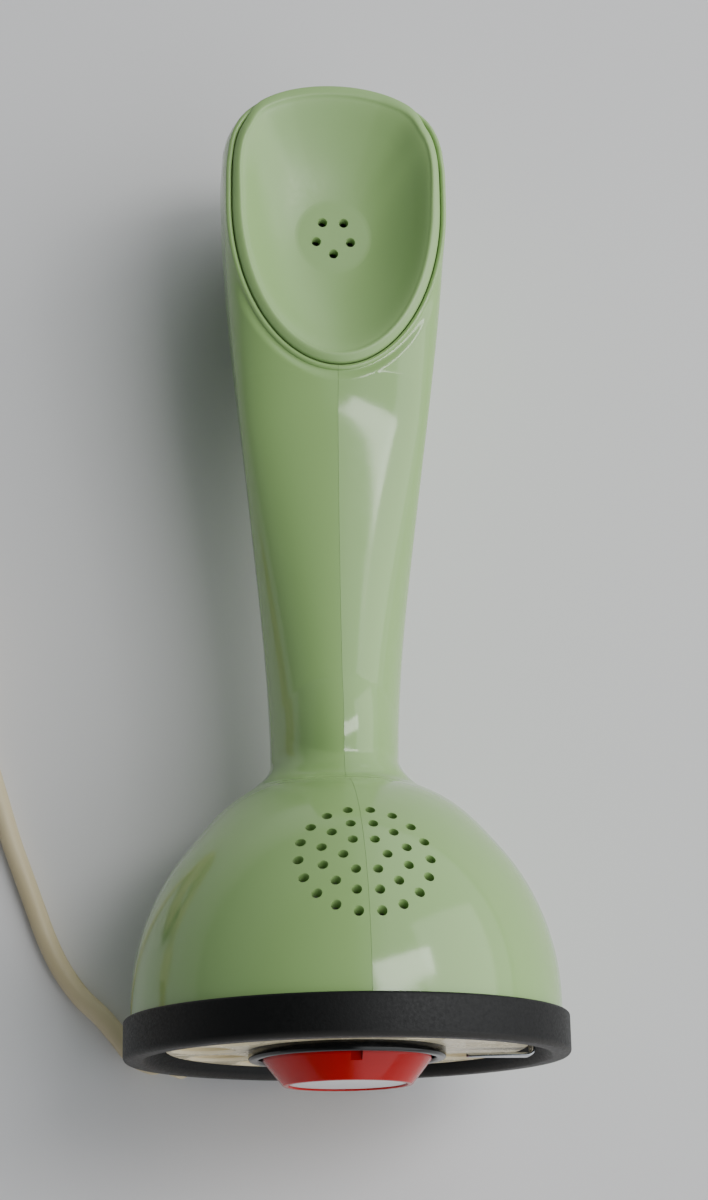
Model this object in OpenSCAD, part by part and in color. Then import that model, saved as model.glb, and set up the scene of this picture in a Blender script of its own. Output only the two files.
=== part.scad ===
// One-piece desk telephone with the dial and the hook plunger in its base.
// It lies on its back: the foot ring and the head's back both touch the table.
// The pieces are drawn standing up, front towards -Y and height along +Z, and lay() turns them down.

/* [Case] */
// Height of the case above the face that it stands on
body_h = 233; // [228:1:240]
// How far the bell stands in from the foot ring's edge
bell_in = 1.6; // [1.4:0.1:2]
// Height at which the bell starts to close in
bell_h0 = 12; // [11:0.5:13]
// Height of the bell's crown
bell_top = 62.4; // [61.6:0.2:64]
// Thickness of the moulded wall
wall = 2.4; // [2.2:0.1:2.6]
// Width of the neck at its narrowest
neck_w = 29.8; // [29:0.2:31.6]
// Height of the neck's narrowest place
waist_h = 70; // [69:0.5:72]
// How far the neck's front stands ahead of the dial axis
neck_front = 3.4; // [2.6:0.2:4.4]
// How far the neck's back stands behind the dial axis at its thinnest
neck_back = 26.3; // [25.5:0.2:28]
// Width of the head
head_w = 54.6; // [54.4:0.2:57.4]

/* [Ear cap] */
// Height of the lowest point of the lip that frames the ear cap
lip_tip = 160.3; // [158:0.5:163]
// Width of that lip
lip_w = 53.4; // [52:0.2:53.4]
// Thickness of the lip's edge
lip_t = 1.4; // [1.2:0.1:1.6]
// How far the lip's lowest point stands ahead of the dial axis
lip_front = 7; // [6:0.2:8]
// Lean of the ear cap towards the base, in degrees
cap_tilt = 3.8; // [3:0.2:4.6]
// Fine gap all round the ear cap
cap_gap = 0.35; // [0.3:0.05:0.5]
// Thickness of the ear cap
cap_t = 2.2; // [1.8:0.1:2.6]
// Depth of the hollow for the ear
dish_depth = 8.5; // [7.5:0.25:9.5]
// Height of the bead round the hollow
bead_h = 1.5; // [0.8:0.1:1.6]
// Diameter of the flat disc in the hollow
disc_d = 18.5; // [17.5:0.25:19.5]
// Diameter of the circle of sound holes in the disc
ear_pcd = 8.8; // [8:0.2:10]
// Diameter of a sound hole in the disc
ear_hole_d = 2.2; // [1.8:0.1:2.6]
// Number of sound holes in the disc
ear_holes = 5; // [4:1:6]

/* [Receiver] */
// Diameter of the receiver capsule
receiver_d = 33; // [31:0.5:34]
// Length of the receiver capsule
receiver_l = 11.5; // [10:0.5:13]
// Thickness of the receiver's rubber gasket
gasket_t = 2.2; // [1.8:0.1:2.6]
// Diameter of the posts that carry the receiver's clip
post_d = 4.4; // [4:0.1:4.8]

/* [Transmitter] */
// Upward lean of the mouth grille, in degrees
grille_tilt = 30; // [28:1:32]
// Diameter of a hole in the mouth grille
grille_hole_d = 2.1; // [1.7:0.1:2.4]
// Step between the grille's rings of holes
grille_step = 4.65; // [4.4:0.05:4.8]
// Number of rings of holes in the grille
grille_rings = 3; // [2:1:3]
// Diameter of the transmitter capsule
mic_d = 33; // [32:0.25:33.5]
// Length of the transmitter capsule
mic_l = 11; // [10:0.5:11.5]
// Depth of the transmitter capsule behind the grille
mic_depth = 6.8; // [6.6:0.1:7.2]

/* [Foot ring] */
// Diameter of the rubber foot ring
foot_d = 98; // [97.4:0.2:99]
// Height of the foot ring
foot_h = 9; // [8.6:0.2:10]
// Height of the shelf that carries the case and the chassis
foot_seat = 7; // [6.8:0.1:7.4]
// Width of the foot ring
foot_w = 7; // [6.8:0.1:7.2]
// Width of the foot ring's face
foot_face = 4.2; // [3.8:0.1:5]
// Height of the slope inside that face
foot_slope = 3; // [2:0.25:3.5]

/* [Dial] */
// Gap round the finger wheel
wheel_gap = 2; // [1.8:0.1:2.4]
// Thickness of the finger wheel
wheel_t = 2.6; // [2.2:0.1:2.8]
// Depth of the finger wheel's face inside the foot ring
wheel_in = 1.8; // [1.7:0.1:2]
// Land between a finger hole and the finger wheel's edge
land_out = 2; // [1.6:0.1:2.6]
// Land between a finger hole and the collar
land_in = 3.3; // [2.8:0.1:3.8]
// Angle between two finger holes
finger_step = 30; // [28:1:30]
// Thickness of the number plate
plate_t = 1.4; // [1.2:0.1:1.5]
// Thickness of the chassis plate
chassis_t = 2.5; // [2.2:0.1:3]
// Diameter of the glossy collar round the plunger
collar_d = 43.4; // [42.8:0.1:43.8]
// Outer diameter of the dial's hollow shaft
shaft_d = 10; // [9.6:0.1:10.4]
// Width of the finger stop
stop_w = 5; // [4:0.25:6]

/* [Plunger] */
// Diameter of the plunger at its collar
plunger_d = 38; // [37.4:0.1:38.2]
// Diameter of the plunger's end
plunger_tip_d = 28.8; // [27.5:0.1:30]
// How far the plunger stands out of the foot ring
plunger_out = 5.4; // [5:0.1:5.6]
// Diameter of the plunger's stem
stem_d = 6.6; // [6.2:0.1:6.8]
// Clearance of a shaft that turns or slides in its bore
run_fit = 0.08; // [0.05:0.01:0.1]

/* [Gear train] */
// Module of the dial's gear and the impulse pinion
gear_mod = 0.6; // [0.58:0.01:0.62]
// Teeth of the dial's gear
gear_teeth = 60; // [54:1:61]
// Teeth of the impulse pinion
pinion_teeth = 15; // [13:1:16]
// Module of the governor's gears
speed_mod = 0.5; // [0.49:0.01:0.51]
// Teeth of the gear that drives the governor
speed_teeth = 45; // [42:1:46]
// Teeth of the governor's pinion
speed_pinion = 10; // [10:1:12]
// Face width of the gears
gear_w = 2; // [1.6:0.1:2.2]

/* [Cord] */
// Diameter of the line cord
cord_d = 4.8; // [4.6:0.1:5]
// Diameter of the put-away coil at the middle of its turns
coil_d = 52; // [50:1:56]
// Gap between neighbouring turns of the coil
coil_gap = 0.6; // [0.5:0.1:0.8]
// Turns in each of the coil's two layers
coil_turns = 4; // [3:0.5:4]

/* [Hidden] */
$fn = 64;
eps = 0.01;
part_gap = 0.3;
foot_r = foot_d / 2;
bell_r = foot_r - bell_in;
foot_bore_d = foot_d - 2 * foot_w;
wheel_d = foot_bore_d - 2 * wheel_gap;
// A finger hole fills the face between its lands, or the room that the next hole leaves
hole_land = 2.5;
hole_side = sin(finger_step / 2);
finger_d = min((wheel_d - collar_d) / 2 - land_out - land_in,
    ((wheel_d - 2 * land_out) * hole_side - hole_land) / (1 + hole_side));
finger_pcd = wheel_d - 2 * land_out - finger_d;
y_shift = (body_h - plunger_out) / 2;

// Levels in the base, from the foot ring's face upwards
wheel_top = wheel_in + wheel_t;
flange_t = 0.8;
plate_h = foot_seat - plate_t;
chassis_top = foot_seat + chassis_t;
skirt_h = 1.8;
floor_h = skirt_h + plunger_out + 0.8;
floor_t = 2;
hub_top = floor_h + floor_t;
frame_t = 1.6;
frame_h = max(hub_top, chassis_top) + 1;
frame_top = frame_h + frame_t;
speed_h = frame_top + 0.8;
spring_h = speed_h + gear_w + 0.5;
spring_w = 1.6;
gear_h = spring_h + spring_w + 0.5;
cam_h = gear_h + gear_w + 1.4;
cam_w = 2;
bridge_h = cam_h + cam_w + 2.6;
bridge_top = bridge_h + frame_t;
shaft_top = bridge_top + 1.4;
hook_h = bridge_top + 16.4;
hook_t = 1.2;
stem_top = hook_h + hook_t + 4;

// Curves of the case: each knot is [height, value, slope]
bell_b = bell_top - bell_h0;
side_end = 42;
front_end = 77;
function bell(h) = bell_r * sqrt(1 - pow(max(0, h - bell_h0) / bell_b, 2));
function bell_height(a) = bell_h0 + bell_b * sin(a);
function bell_slope(a) = -bell_r / bell_b * tan(a);
function hermite(a, b, h) =
    let (len = b[0] - a[0], s = (h - a[0]) / len, q = s * s, c = q * s)
    a[1] * (1 - 3 * q + 2 * c) + a[2] * len * (s - 2 * q + c) + b[1] * (3 * q - 2 * c) + b[2] * len * (c - q);
function curve(k, h, i = 0) =
    h <= k[i + 1][0] || i == len(k) - 2 ? hermite(k[i], k[i + 1], h) : curve(k, h, i + 1);

head_h = body_h - 21;
lip_c = body_h - 31;
side_h = bell_height(side_end);
nose_h = bell_height(front_end);
flare_h = (side_h + waist_h) / 2;
flare_w = (bell(side_h) + neck_w / 2) / 2 + 0.2;
side_knots = [[side_h, bell(side_h), bell_slope(side_end)], [flare_h, flare_w, -1.12],
    [waist_h, neck_w / 2, 0.014], [waist_h + 60, neck_w / 2 + 5.2, 0.115], [head_h, head_w / 2, 0.01]];
front_knots = [[nose_h, bell(nose_h), bell_slope(front_end)], [waist_h - 5, neck_front + 2.2, -0.34],
    [waist_h + 6, neck_front + 0.2, -0.1], [waist_h + 22, neck_front - 0.6, -0.02],
    [waist_h + 45, neck_front - 0.8, 0],
    [lip_tip - 10, neck_front + 1.1, 0.12], [lip_tip, lip_front, 0.35]];
back_knots = [[bell_h0, bell_r, 0], [bell_h0 + 18, bell_r - 1.4, -0.12], [waist_h - 10, bell_r - 9.8, -0.36],
    [waist_h + 20, neck_back + 2.2, -0.2], [waist_h + 45, neck_back, 0],
    [waist_h + 95, (neck_back + foot_r) / 2, 0.38], [head_h, foot_r, 0]];
mid_knots = [[side_h, 0, 0], [waist_h, 16.5, 0], [head_h, -3, 0]];
power_knots = [[side_h, 2, 0], [waist_h + 10, 2.25, 0], [head_h, 2.35, 0]];

// The head's top is a shallow arch with close corners
crown_power = 2.8;
lip_power = 4;
function crown(h) = max(0, h - head_h) / (body_h - head_h);
function side(h) = h > head_h ? head_w / 2 * sqrt(1 - pow(crown(h), crown_power))
    : h > side_h ? curve(side_knots, h) : bell(h);
function mid(h) = h > side_h ? -curve(mid_knots, min(h, head_h)) : 0;
ridge = 18;
function back(h) = h > head_h ? -ridge - (foot_r - ridge) * pow(1 - pow(crown(h), 2.4), 1 / 2.4)
    : h > bell_h0 ? -curve(back_knots, h) : -bell_r;
function power(h) = h > side_h ? curve(power_knots, min(h, head_h)) : 2;
function cap_front(h) = lip_front + (h - lip_tip) * tan(cap_tilt);
function front(h) = h > lip_tip ? cap_front(h) : h > nose_h ? curve(front_knots, h) : bell(h);
function lip_x(h) = h <= lip_tip ? 0
    : h < lip_c ? lip_w / 2 * sqrt(1 - pow((lip_c - h) / (lip_c - lip_tip), 2))
    : lip_w / 2 * sqrt(max(0, 1 - pow((h - lip_c) / (body_h - lip_c), lip_power)));

// Share of the case's half width at which the cap's plane cuts it
top_share = lip_w / head_w
    * sqrt(lip_power * (body_h - head_h) / (crown_power * (body_h - lip_c)));
function lip_share(h) = side(h) > eps ? lip_x(h) / side(h) : top_share;

// One point of the case: h is its height, t runs from -1 at the back to 1 at the front
// or, on the head, at the lip
function case_point(h, t) =
    let (e = 2 / power(h), share = lip_share(h), end = acos(pow(share, 1 / e)),
        a = t < 0 ? 90 * t : end * t, c = pow(max(0, cos(a)), e), s = pow(abs(sin(a)), e),
        reach = t < 0 ? back(h) - mid(h) : (front(h) - mid(h)) / pow(sin(end), e))
    [t == 1 ? lip_x(h) : side(h) * c, -(mid(h) + reach * s), h];

function steps(a, b, n) = [for (i = [1 : n]) a + (b - a) * i / n];
stations = concat([foot_seat], [for (a = [0, 10, 20, 30]) bell_height(a)],
    [for (a = [side_end, 52, 62, 70, front_end]) bell_height(a)],
    steps(nose_h, waist_h - 5, 3), steps(waist_h - 5, waist_h + 4, 3), steps(waist_h + 4, lip_tip, 9),
    [for (a = [1 : 8]) lip_c - (lip_c - lip_tip) * cos(90 * a / 8)], [head_h],
    [for (a = [3, 8, 15, 24, 34, 45, 57, 68, 78, 85, 90]) head_h + (body_h - head_h) * sqrt(sin(a))]);
rows = len(stations);
columns = 13;
tip_row = search(lip_tip, stations)[0];

function unit(v) = v / norm(v);
function flip(p) = [-p[0], p[1], p[2]];
case_outer = [for (h = stations) [for (j = [0 : columns - 1]) case_point(h, 2 * j / (columns - 1) - 1)]];
function at_row(i, j) = i >= rows ? flip(case_outer[rows - 2][j]) : case_outer[max(i, 0)][j];
function at_column(i, j) = j < 0 ? flip(case_outer[i][1])
    : j >= columns ? (i > tip_row ? case_outer[i][columns - 1] : flip(case_outer[i][columns - 2]))
    : case_outer[i][j];
function case_normal(i, j) =
    let (n = unit(cross(at_column(i, j + 1) - at_column(i, j - 1), at_row(i + 1, j) - at_row(i - 1, j))))
    i == 0 ? unit([n[0], n[1], 0]) : i == rows - 1 ? [0, 0, -1] : n;
// Within the cap's plane the lip's edge is drawn in square to its own outline
function lip_inward(i) =
    let (b = case_outer[min(i + 1, rows - 1)][columns - 1], a = case_outer[max(i - 1, tip_row)][columns - 1],
        t = i == tip_row || i == rows - 1 ? [1, 0, 0] : unit(b - a),
        n = unit(cross(t, [0, -cos(cap_tilt), -sin(cap_tilt)])))
    i == rows - 1 ? n * sign(-n[2]) : i == tip_row ? n * sign(n[2]) : n * -sign(n[0]);
// The head's wall thins towards the lip
function case_wall(i, j) =
    i < tip_row ? wall : wall - (wall - lip_t) * pow(max(0, 2 * j / (columns - 1) - 1), 2);
case_inner = [for (i = [0 : rows - 1]) [for (j = [0 : columns - 1])
    i >= tip_row && j == columns - 1 ? case_outer[i][j] + lip_t * lip_inward(i)
    : case_outer[i][j] + case_wall(i, j) * case_normal(i, j)]];

// Ear cap: [x, v] on the cap's plane, with v running up the plane from the lip's centre
// It follows the lip's outline at an even inset, square to that outline
function cap_edge(a, inset) =
    let (w = lip_w / 2, s = sin(a), c = cos(a), n = s < 0 ? 2 : lip_power,
        reach = (s < 0 ? lip_c - lip_tip : body_h - lip_c) / cos(cap_tilt),
        square = unit([2 * c / w, n * sign(s) * pow(abs(s), 2 - 2 / n) / reach]))
    [w * c, reach * sign(s) * pow(abs(s), 2 / n)] - inset * square;
cap_inset = lip_t + cap_gap;
cap_sides = 44;
disc_v = -5;
dish_edge = 0.86;
rim_t = 2.4;
edge_land = 0.4;
function cap_plan(a, s) =
    let (d = [0, disc_v] + disc_d / 2 * [cos(a), sin(a)])
    d + (cap_edge(a, cap_inset) - d) * s;
// The bead runs round the sides and the lower edge and fades out across the top
function bead(a) = bead_h * min(1, max(0, (0.86 - sin(a)) / 0.4));
dish_crease = 0.3;
function dish(s) = let (u = min(1, s / dish_edge))
    -dish_depth * (1 - dish_crease * u - (1 - dish_crease) * u * u);
function bead_rise(s) = s > dish_edge ? sin(180 * (s - dish_edge) / (1 - dish_edge)) : 0;
function cap_face(a, s) = dish(s) + bead(a) * bead_rise(s);
cap_top = [0, 0.2, 0.4, 0.56, 0.7, 0.8, 0.86, 0.895, 0.93, 0.965, 1];
cap_under = [0.93, 0.86, 0.7, 0.45, 0.2, 0];
function cap_ring(a_list, s, drop) = [for (a = a_list) let (p = cap_plan(a, s)) [p[0], p[1], drop(a)]];

// Closed skin over a stack of equal rings, each end closed by a fan
module skin(rings) {
    n = len(rings[0]);
    m = len(rings);
    middle = function (r) [for (k = [0 : 2]) [for (p = r) p[k]] * [for (p = r) 1] / n];
    points = concat([for (r = rings) each r], [middle(rings[0]), middle(rings[m - 1])]);
    sides = [for (i = [0 : m - 2]) for (j = [0 : n - 1]) let (k = (j + 1) % n)
        each [[i * n + j, (i + 1) * n + j, (i + 1) * n + k], [i * n + j, (i + 1) * n + k, i * n + k]]];
    ends = [for (j = [0 : n - 1]) let (k = (j + 1) % n)
        each [[m * n, j, k], [m * n + 1, (m - 1) * n + k, (m - 1) * n + j]]];
    polyhedron(points, concat(sides, ends));
}

// Tubes: a smooth curve through the given points, then a ring at each of its points
function spline(p, n) = concat([for (i = [0 : len(p) - 2]) let (a = p[max(i - 1, 0)], b = p[i], c = p[i + 1],
    d = p[min(i + 2, len(p) - 1)]) for (k = [0 : n - 1]) let (t = k / n)
    b + (c - a) * t / 2 + (2 * a - 5 * b + 4 * c - d) * t * t / 2 + (3 * b - a - 3 * c + d) * pow(t, 3) / 2],
    [p[len(p) - 1]]);
function heading(p, i) = unit(p[min(i + 1, len(p) - 1)] - p[max(i - 1, 0)]);
function tube_rings(p, r, sides, up) = [for (i = [0 : len(p) - 1])
    let (t = heading(p, i), u = unit(cross(t, up)), v = cross(u, t))
    [for (k = [0 : sides - 1]) p[i] + r * (u * cos(360 * k / sides) + v * sin(360 * k / sides))]];
module tube(p, r, sides, up) {
    skin(tube_rings(p, r, sides, up));
}

// Turns a standing piece on to its back and sets the foot ring on the table
module lay() {
    translate([0, -y_shift, foot_r]) rotate([-90, 0, 0]) children();
}

// Places a piece at x to the right, f ahead of the dial axis and height h
module put(x, f, h) {
    translate([x, -f, h]) children();
}

// Frame of the ear cap: x right, y up the cap, z out of the hollow
module ear() {
    put(0, cap_front(lip_c), lip_c) rotate([90 + cap_tilt, 0, 0]) children();
}

// Frame of the mouth grille: z points out through the grille
mouth_turn = atan(bell_b / bell_r * tan(grille_tilt));
mouth_f = bell_r * cos(mouth_turn);
mouth_h = bell_height(mouth_turn);
module mouth() {
    put(0, mouth_f, mouth_h) rotate([90 - grille_tilt, 0, 0]) children();
}

// A turned piece from [radius, height] pairs
module turned(outline) {
    rotate_extrude($fn = 96) polygon(outline);
}
module washer(outer, inner, h, z = 0) {
    translate([0, 0, z]) difference() {
        cylinder(r = outer, h = h);
        translate([0, 0, -1]) cylinder(r = inner, h = h + 2);
    }
}
// Points of a round corner about [cx, cy], from angle a to angle b
function corner(cx, cy, r, a, b, n = 4) = [for (i = [0 : n]) [cx, cy]
    + r * [cos(a + (b - a) * i / n), sin(a + (b - a) * i / n)]];

// Case halves
boss_r = bell_r - 7.9;
boss_d = 6.4;
boss_len = 8.5;
screw_reach = boss_len - 2;
boss_angles = [60, 160];
screw_d = 2.6;
module boss(a) {
    put(boss_r * sin(a), boss_r * cos(a), chassis_top) {
        cylinder(d = boss_d, h = boss_len);
        rotate([0, 0, a - 90]) translate([0, -0.9, 0]) cube([bell_r - wall / 2 - boss_r, 1.8, boss_len - 4]);
    }
}
module grille_holes() {
    // No hole lies on the seam, so the even rings are turned by half a step
    mouth() for (k = [1 : grille_rings]) for (i = [0 : 6 * k - 1])
        rotate([0, 0, (i + (k % 2 == 0 ? 0.5 : 0)) * 60 / k]) translate([k * grille_step, 0, -mic_depth])
            cylinder(d = grille_hole_d, h = 2 * mic_depth, $fn = 24);
}
module half_case() {
    n = columns;
    m = rows - 1;
    inner = rows * n;
    at = function (i, j) i * n + j;
    quad = function (a, b, c, d) [[a, b, c], [a, c, d]];
    walls = [for (i = [0 : m - 1]) for (j = [0 : n - 2]) each concat(
        quad(at(i, j), at(i, j + 1), at(i + 1, j + 1), at(i + 1, j)),
        quad(inner + at(i, j), inner + at(i + 1, j), inner + at(i + 1, j + 1), inner + at(i, j + 1)))];
    ends = [for (j = [0 : n - 2]) each concat(
        quad(at(0, j + 1), at(0, j), inner + at(0, j), inner + at(0, j + 1)),
        quad(at(m, j), at(m, j + 1), inner + at(m, j + 1), inner + at(m, j)))];
    seams = [for (i = [0 : m - 1]) each concat(
        quad(at(i + 1, n - 1), at(i, n - 1), inner + at(i, n - 1), inner + at(i + 1, n - 1)),
        quad(at(i, 0), at(i + 1, 0), inner + at(i + 1, 0), inner + at(i, 0)))];
    difference() {
        union() {
            polyhedron(concat([for (r = case_outer) each r], [for (r = case_inner) each r]),
                concat(walls, ends, seams));
            for (a = boss_angles) boss(a);
        }
        grille_holes();
        for (a = boss_angles) put(boss_r * sin(a), boss_r * cos(a), chassis_top - 1)
            cylinder(d = screw_d, h = screw_reach + 1.5);
    }
}
module shell_right() {
    color("#a9c294") lay() half_case();
}
module shell_left() {
    color("#a9c294") lay() mirror([1, 0, 0]) half_case();
}

// Ear cap and receiver
post_x = receiver_d / 2 + post_d / 2 + 1.2;
disc_back = -dish_depth - cap_t;
receiver_z = disc_back - gasket_t - receiver_l;
clip_t = 1.2;
clip_w = 9;
clip_end = 2.2;
clip_screw_d = 2;
clip_screw_l = 5;
clip_head_d = 4;
clip_head_h = 1.5;
module ear_cap() {
    turn = [for (k = [0 : cap_sides - 1]) -360 * k / cap_sides];
    top = [for (s = cap_top) cap_ring(turn, s, function (a) cap_face(a, s))];
    under = [for (s = cap_under) cap_ring(turn, s, function (a) s > dish_edge ? -rim_t : dish(s) - cap_t)];
    edge = [cap_ring(turn, 1, function (a) -edge_land)];
    post_in = post_x - post_d / 2;
    post_top = dish((post_in - disc_d / 2) / (lip_w / 2 - cap_inset - disc_d / 2)) - 0.4;
    color("#a9c294") lay() ear() difference() {
        union() {
            skin(concat(top, edge, under));
            for (side = [-1, 1]) translate([side * post_x, disc_v, receiver_z])
                cylinder(d = post_d, h = post_top - receiver_z);
        }
        for (k = [0 : ear_holes - 1]) translate([0, disc_v, disc_back - 1])
            rotate([0, 0, 360 * k / ear_holes - 90]) translate([ear_pcd / 2, 0, 0])
                cylinder(d = ear_hole_d, h = cap_t + 2, $fn = 24);
        for (side = [-1, 1]) translate([side * post_x, disc_v, receiver_z - 1])
            cylinder(d = clip_screw_d, h = clip_screw_l + 2);
    }
}
module receiver_gasket() {
    color("#2b2a28") lay() ear() translate([0, disc_v, disc_back - gasket_t])
        washer(disc_d / 2, ear_pcd / 2 + ear_hole_d / 2 + 0.8, gasket_t);
}
module receiver_capsule() {
    back_step = 2;
    neck_step = 2.5;
    neck_l = 3;
    face_rise = 1;
    r = receiver_d / 2;
    neck = receiver_l - neck_l;
    color("#8d8f90") lay() ear() translate([0, disc_v, receiver_z])
        turned([[0, 0], [r - back_step, 0], [r - back_step, back_step], [r, back_step], [r, neck],
            [r - neck_step, neck], [r - neck_step, receiver_l - face_rise], [disc_d / 2, receiver_l],
            [0, receiver_l]]);
}
module receiver_clip() {
    color("#b9bcbd") lay() ear() translate([0, disc_v, receiver_z - clip_t]) difference() {
        translate([-post_x - clip_end, -clip_w / 2, 0]) cube([2 * (post_x + clip_end), clip_w, clip_t]);
        for (side = [-1, 1]) translate([side * post_x, 0, -1]) cylinder(d = clip_screw_d, h = clip_t + 2);
    }
}
module receiver_screws() {
    color("#c9cacb") lay() ear() for (side = [-1, 1])
        translate([side * post_x, disc_v, receiver_z - clip_t]) {
            translate([0, 0, -clip_head_h]) cylinder(d = clip_head_d, h = clip_head_h);
            cylinder(d = clip_screw_d, h = clip_t + clip_screw_l);
        }
}
lead_d = 2;
// A point behind the ear cap, as [right, ahead, up] of the standing telephone
function ear_point(v, z) = [0, cap_front(lip_c) + v * sin(cap_tilt) + z * cos(cap_tilt),
    lip_c + v * cos(cap_tilt) - z * sin(cap_tilt)];
module receiver_lead() {
    // Points are [right, ahead, up] of the standing telephone
    tail_in = 5;
    tail_v = disc_v - receiver_d / 2 + tail_in;
    way = [ear_point(tail_v, receiver_z - 0.05), ear_point(tail_v, receiver_z - 0.6),
        ear_point(tail_v - 0.4, receiver_z - 2.4), [0, -20, lip_c - 27.7], [0, -15, lip_c - 43.7],
        [0, -12, waist_h + 60], [-1, -13, waist_h + 30], [-4, -17, waist_h + 6], [-14, -21, waist_h - 12],
        [-24, -19, waist_h - 28], [lead_x, -17, 28], [lead_x, -17, 22], [lead_x, -17, strip_top + 0.05]];
    color("#7a3b34") lay() tube([for (p = spline(way, 2)) [p[0], -p[1], p[2]]], lead_d / 2, 8, [0.3, 1, 0]);
}

// Transmitter, held behind the grille by a cup that stands on the chassis
cup_gap = part_gap;
cup_t = 1.3;
cup_r = mic_d / 2 + cup_gap + cup_t;
cup_back = mic_depth + mic_l + cup_t;
module transmitter_gasket() {
    r = mic_d / 2;
    color("#2b2a28") lay() mouth() turned([[r - 1.1, -mic_depth], [r, -mic_depth], [r, -mic_depth + 0.5],
        [r - 1.1, -mic_depth + 0.65]]);
}
module transmitter_capsule() {
    r = mic_d / 2;
    color("#a7a39a") lay() mouth() translate([0, 0, -mic_depth - mic_l])
        turned([[0, 0], [r - 3, 0], [r - 3, 2.5], [r, 2.5], [r, mic_l], [r - 1.2, mic_l],
            [r - 1.2, mic_l - 0.8], [0, mic_l - 0.8]]);
}
module transmitter_holder() {
    leg_t = 1.2;
    leg_w = 14;
    leg_f = mouth_f - cup_back * cos(grille_tilt) + 4;
    leg_top = mouth_h - cup_back * sin(grille_tilt) - 4 / tan(grille_tilt);
    color("#3a3a3c") lay() {
        mouth() difference() {
            translate([0, 0, -cup_back]) cylinder(r = cup_r, h = cup_back - mic_depth - 0.6);
            translate([0, 0, -cup_back + cup_t]) cylinder(r = cup_r - cup_t, h = cup_back);
            translate([0, 0, -cup_back - 1]) cylinder(r = 9, h = cup_t + 2);
        }
        put(-leg_w / 2, leg_f + leg_t, chassis_top) cube([leg_w, leg_t, leg_top - chassis_top]);
        put(-leg_w / 2, leg_f + 6, chassis_top) cube([leg_w, 6, 1.2]);
    }
}
module transmitter_lead() {
    step = [0, cos(grille_tilt), sin(grille_tilt)];
    start = [-5, mouth_f, mouth_h] - (mic_depth + mic_l) * step;
    way = [start, start - 1.6 * step, start - 3.2 * step + [-2, 0, 0.5], [-17, 17.5, bridge_top + 2],
        [-25, 11, bridge_top + 2], [lead_x, 1, bridge_top], [lead_x, -7, 23], [lead_x, -11, 20],
        [lead_x, -12, strip_top + 0.05]];
    color("#35507a") lay() tube([for (p = spline(way, 2)) [p[0], -p[1], p[2]]], lead_d / 2, 8, [0.3, 0.2, 1]);
}

// Foot ring
gland_h = 3.7;
gland_r = 3.1;
gland_in = foot_r - 3.6;
gland_out = foot_r + 4;
gland_turn = -135;
line_lead_r = 0.9;
lead_room = 0.4;
lead_r = bell_r - wall - line_lead_r - lead_room;
module gland_line(r) {
    rotate([0, 0, -90 + gland_turn]) translate([r, 0, gland_h]) rotate([0, 90, 0]) children();
}
module foot_ring() {
    bore = foot_bore_d / 2;
    face = foot_r - foot_face;
    edge = 0.3;
    lip = bell_r + part_gap;
    color("#232322") lay() difference() {
        turned(concat([[bore, foot_slope], [face, edge], [face + edge, 0]],
            corner(foot_r - 1.2, 1.2, 1.2, -90, 0),
            corner(foot_r - 0.8, foot_h - 0.6, 0.6, 0, 90),
            [[lip, foot_h], [lip, foot_seat], [bore, foot_seat]]));
        gland_line(gland_in) cylinder(r = gland_r, h = foot_r);
        gland_line(lead_r) cylinder(r = line_lead_r + lead_room, h = 4);
        gland_line(lead_r) sphere(r = line_lead_r + lead_room);
        rotate([0, 0, -90 + gland_turn]) translate([lead_r, 0, gland_h])
            cylinder(r = line_lead_r + lead_room, h = foot_h);
    }
}

// Chassis plate with its countersunk screws
chassis_r = bell_r - wall - part_gap;
well_r = collar_d / 2 + 0.7;
head_d = 5.2;
module at_bosses() {
    for (side = [-1, 1]) for (a = boss_angles) put(side * boss_r * sin(a), boss_r * cos(a), 0) children();
}
module screw_body(grow) {
    translate([0, 0, foot_seat]) cylinder(d1 = head_d + grow, d2 = screw_d + grow, h = 1.6);
    translate([0, 0, foot_seat]) cylinder(d = screw_d + grow, h = chassis_t + eps);
}
module chassis_plate() {
    color("#a8a9a4") lay() difference() {
        translate([0, 0, foot_seat]) cylinder(r = chassis_r, h = chassis_t, $fn = 96);
        translate([0, 0, foot_seat - 1]) cylinder(r = well_r, h = chassis_t + 2, $fn = 96);
        at_bosses() screw_body(0.2);
        rotate([0, 0, -90 + gland_turn]) translate([lead_r, 0, 0])
            cylinder(r = line_lead_r + lead_room, h = foot_h + chassis_top);
    }
}
module chassis_screws() {
    color("#c9cacb") lay() at_bosses() {
        screw_body(0);
        translate([0, 0, foot_seat]) cylinder(d = screw_d, h = chassis_t + screw_reach);
    }
}

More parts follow.
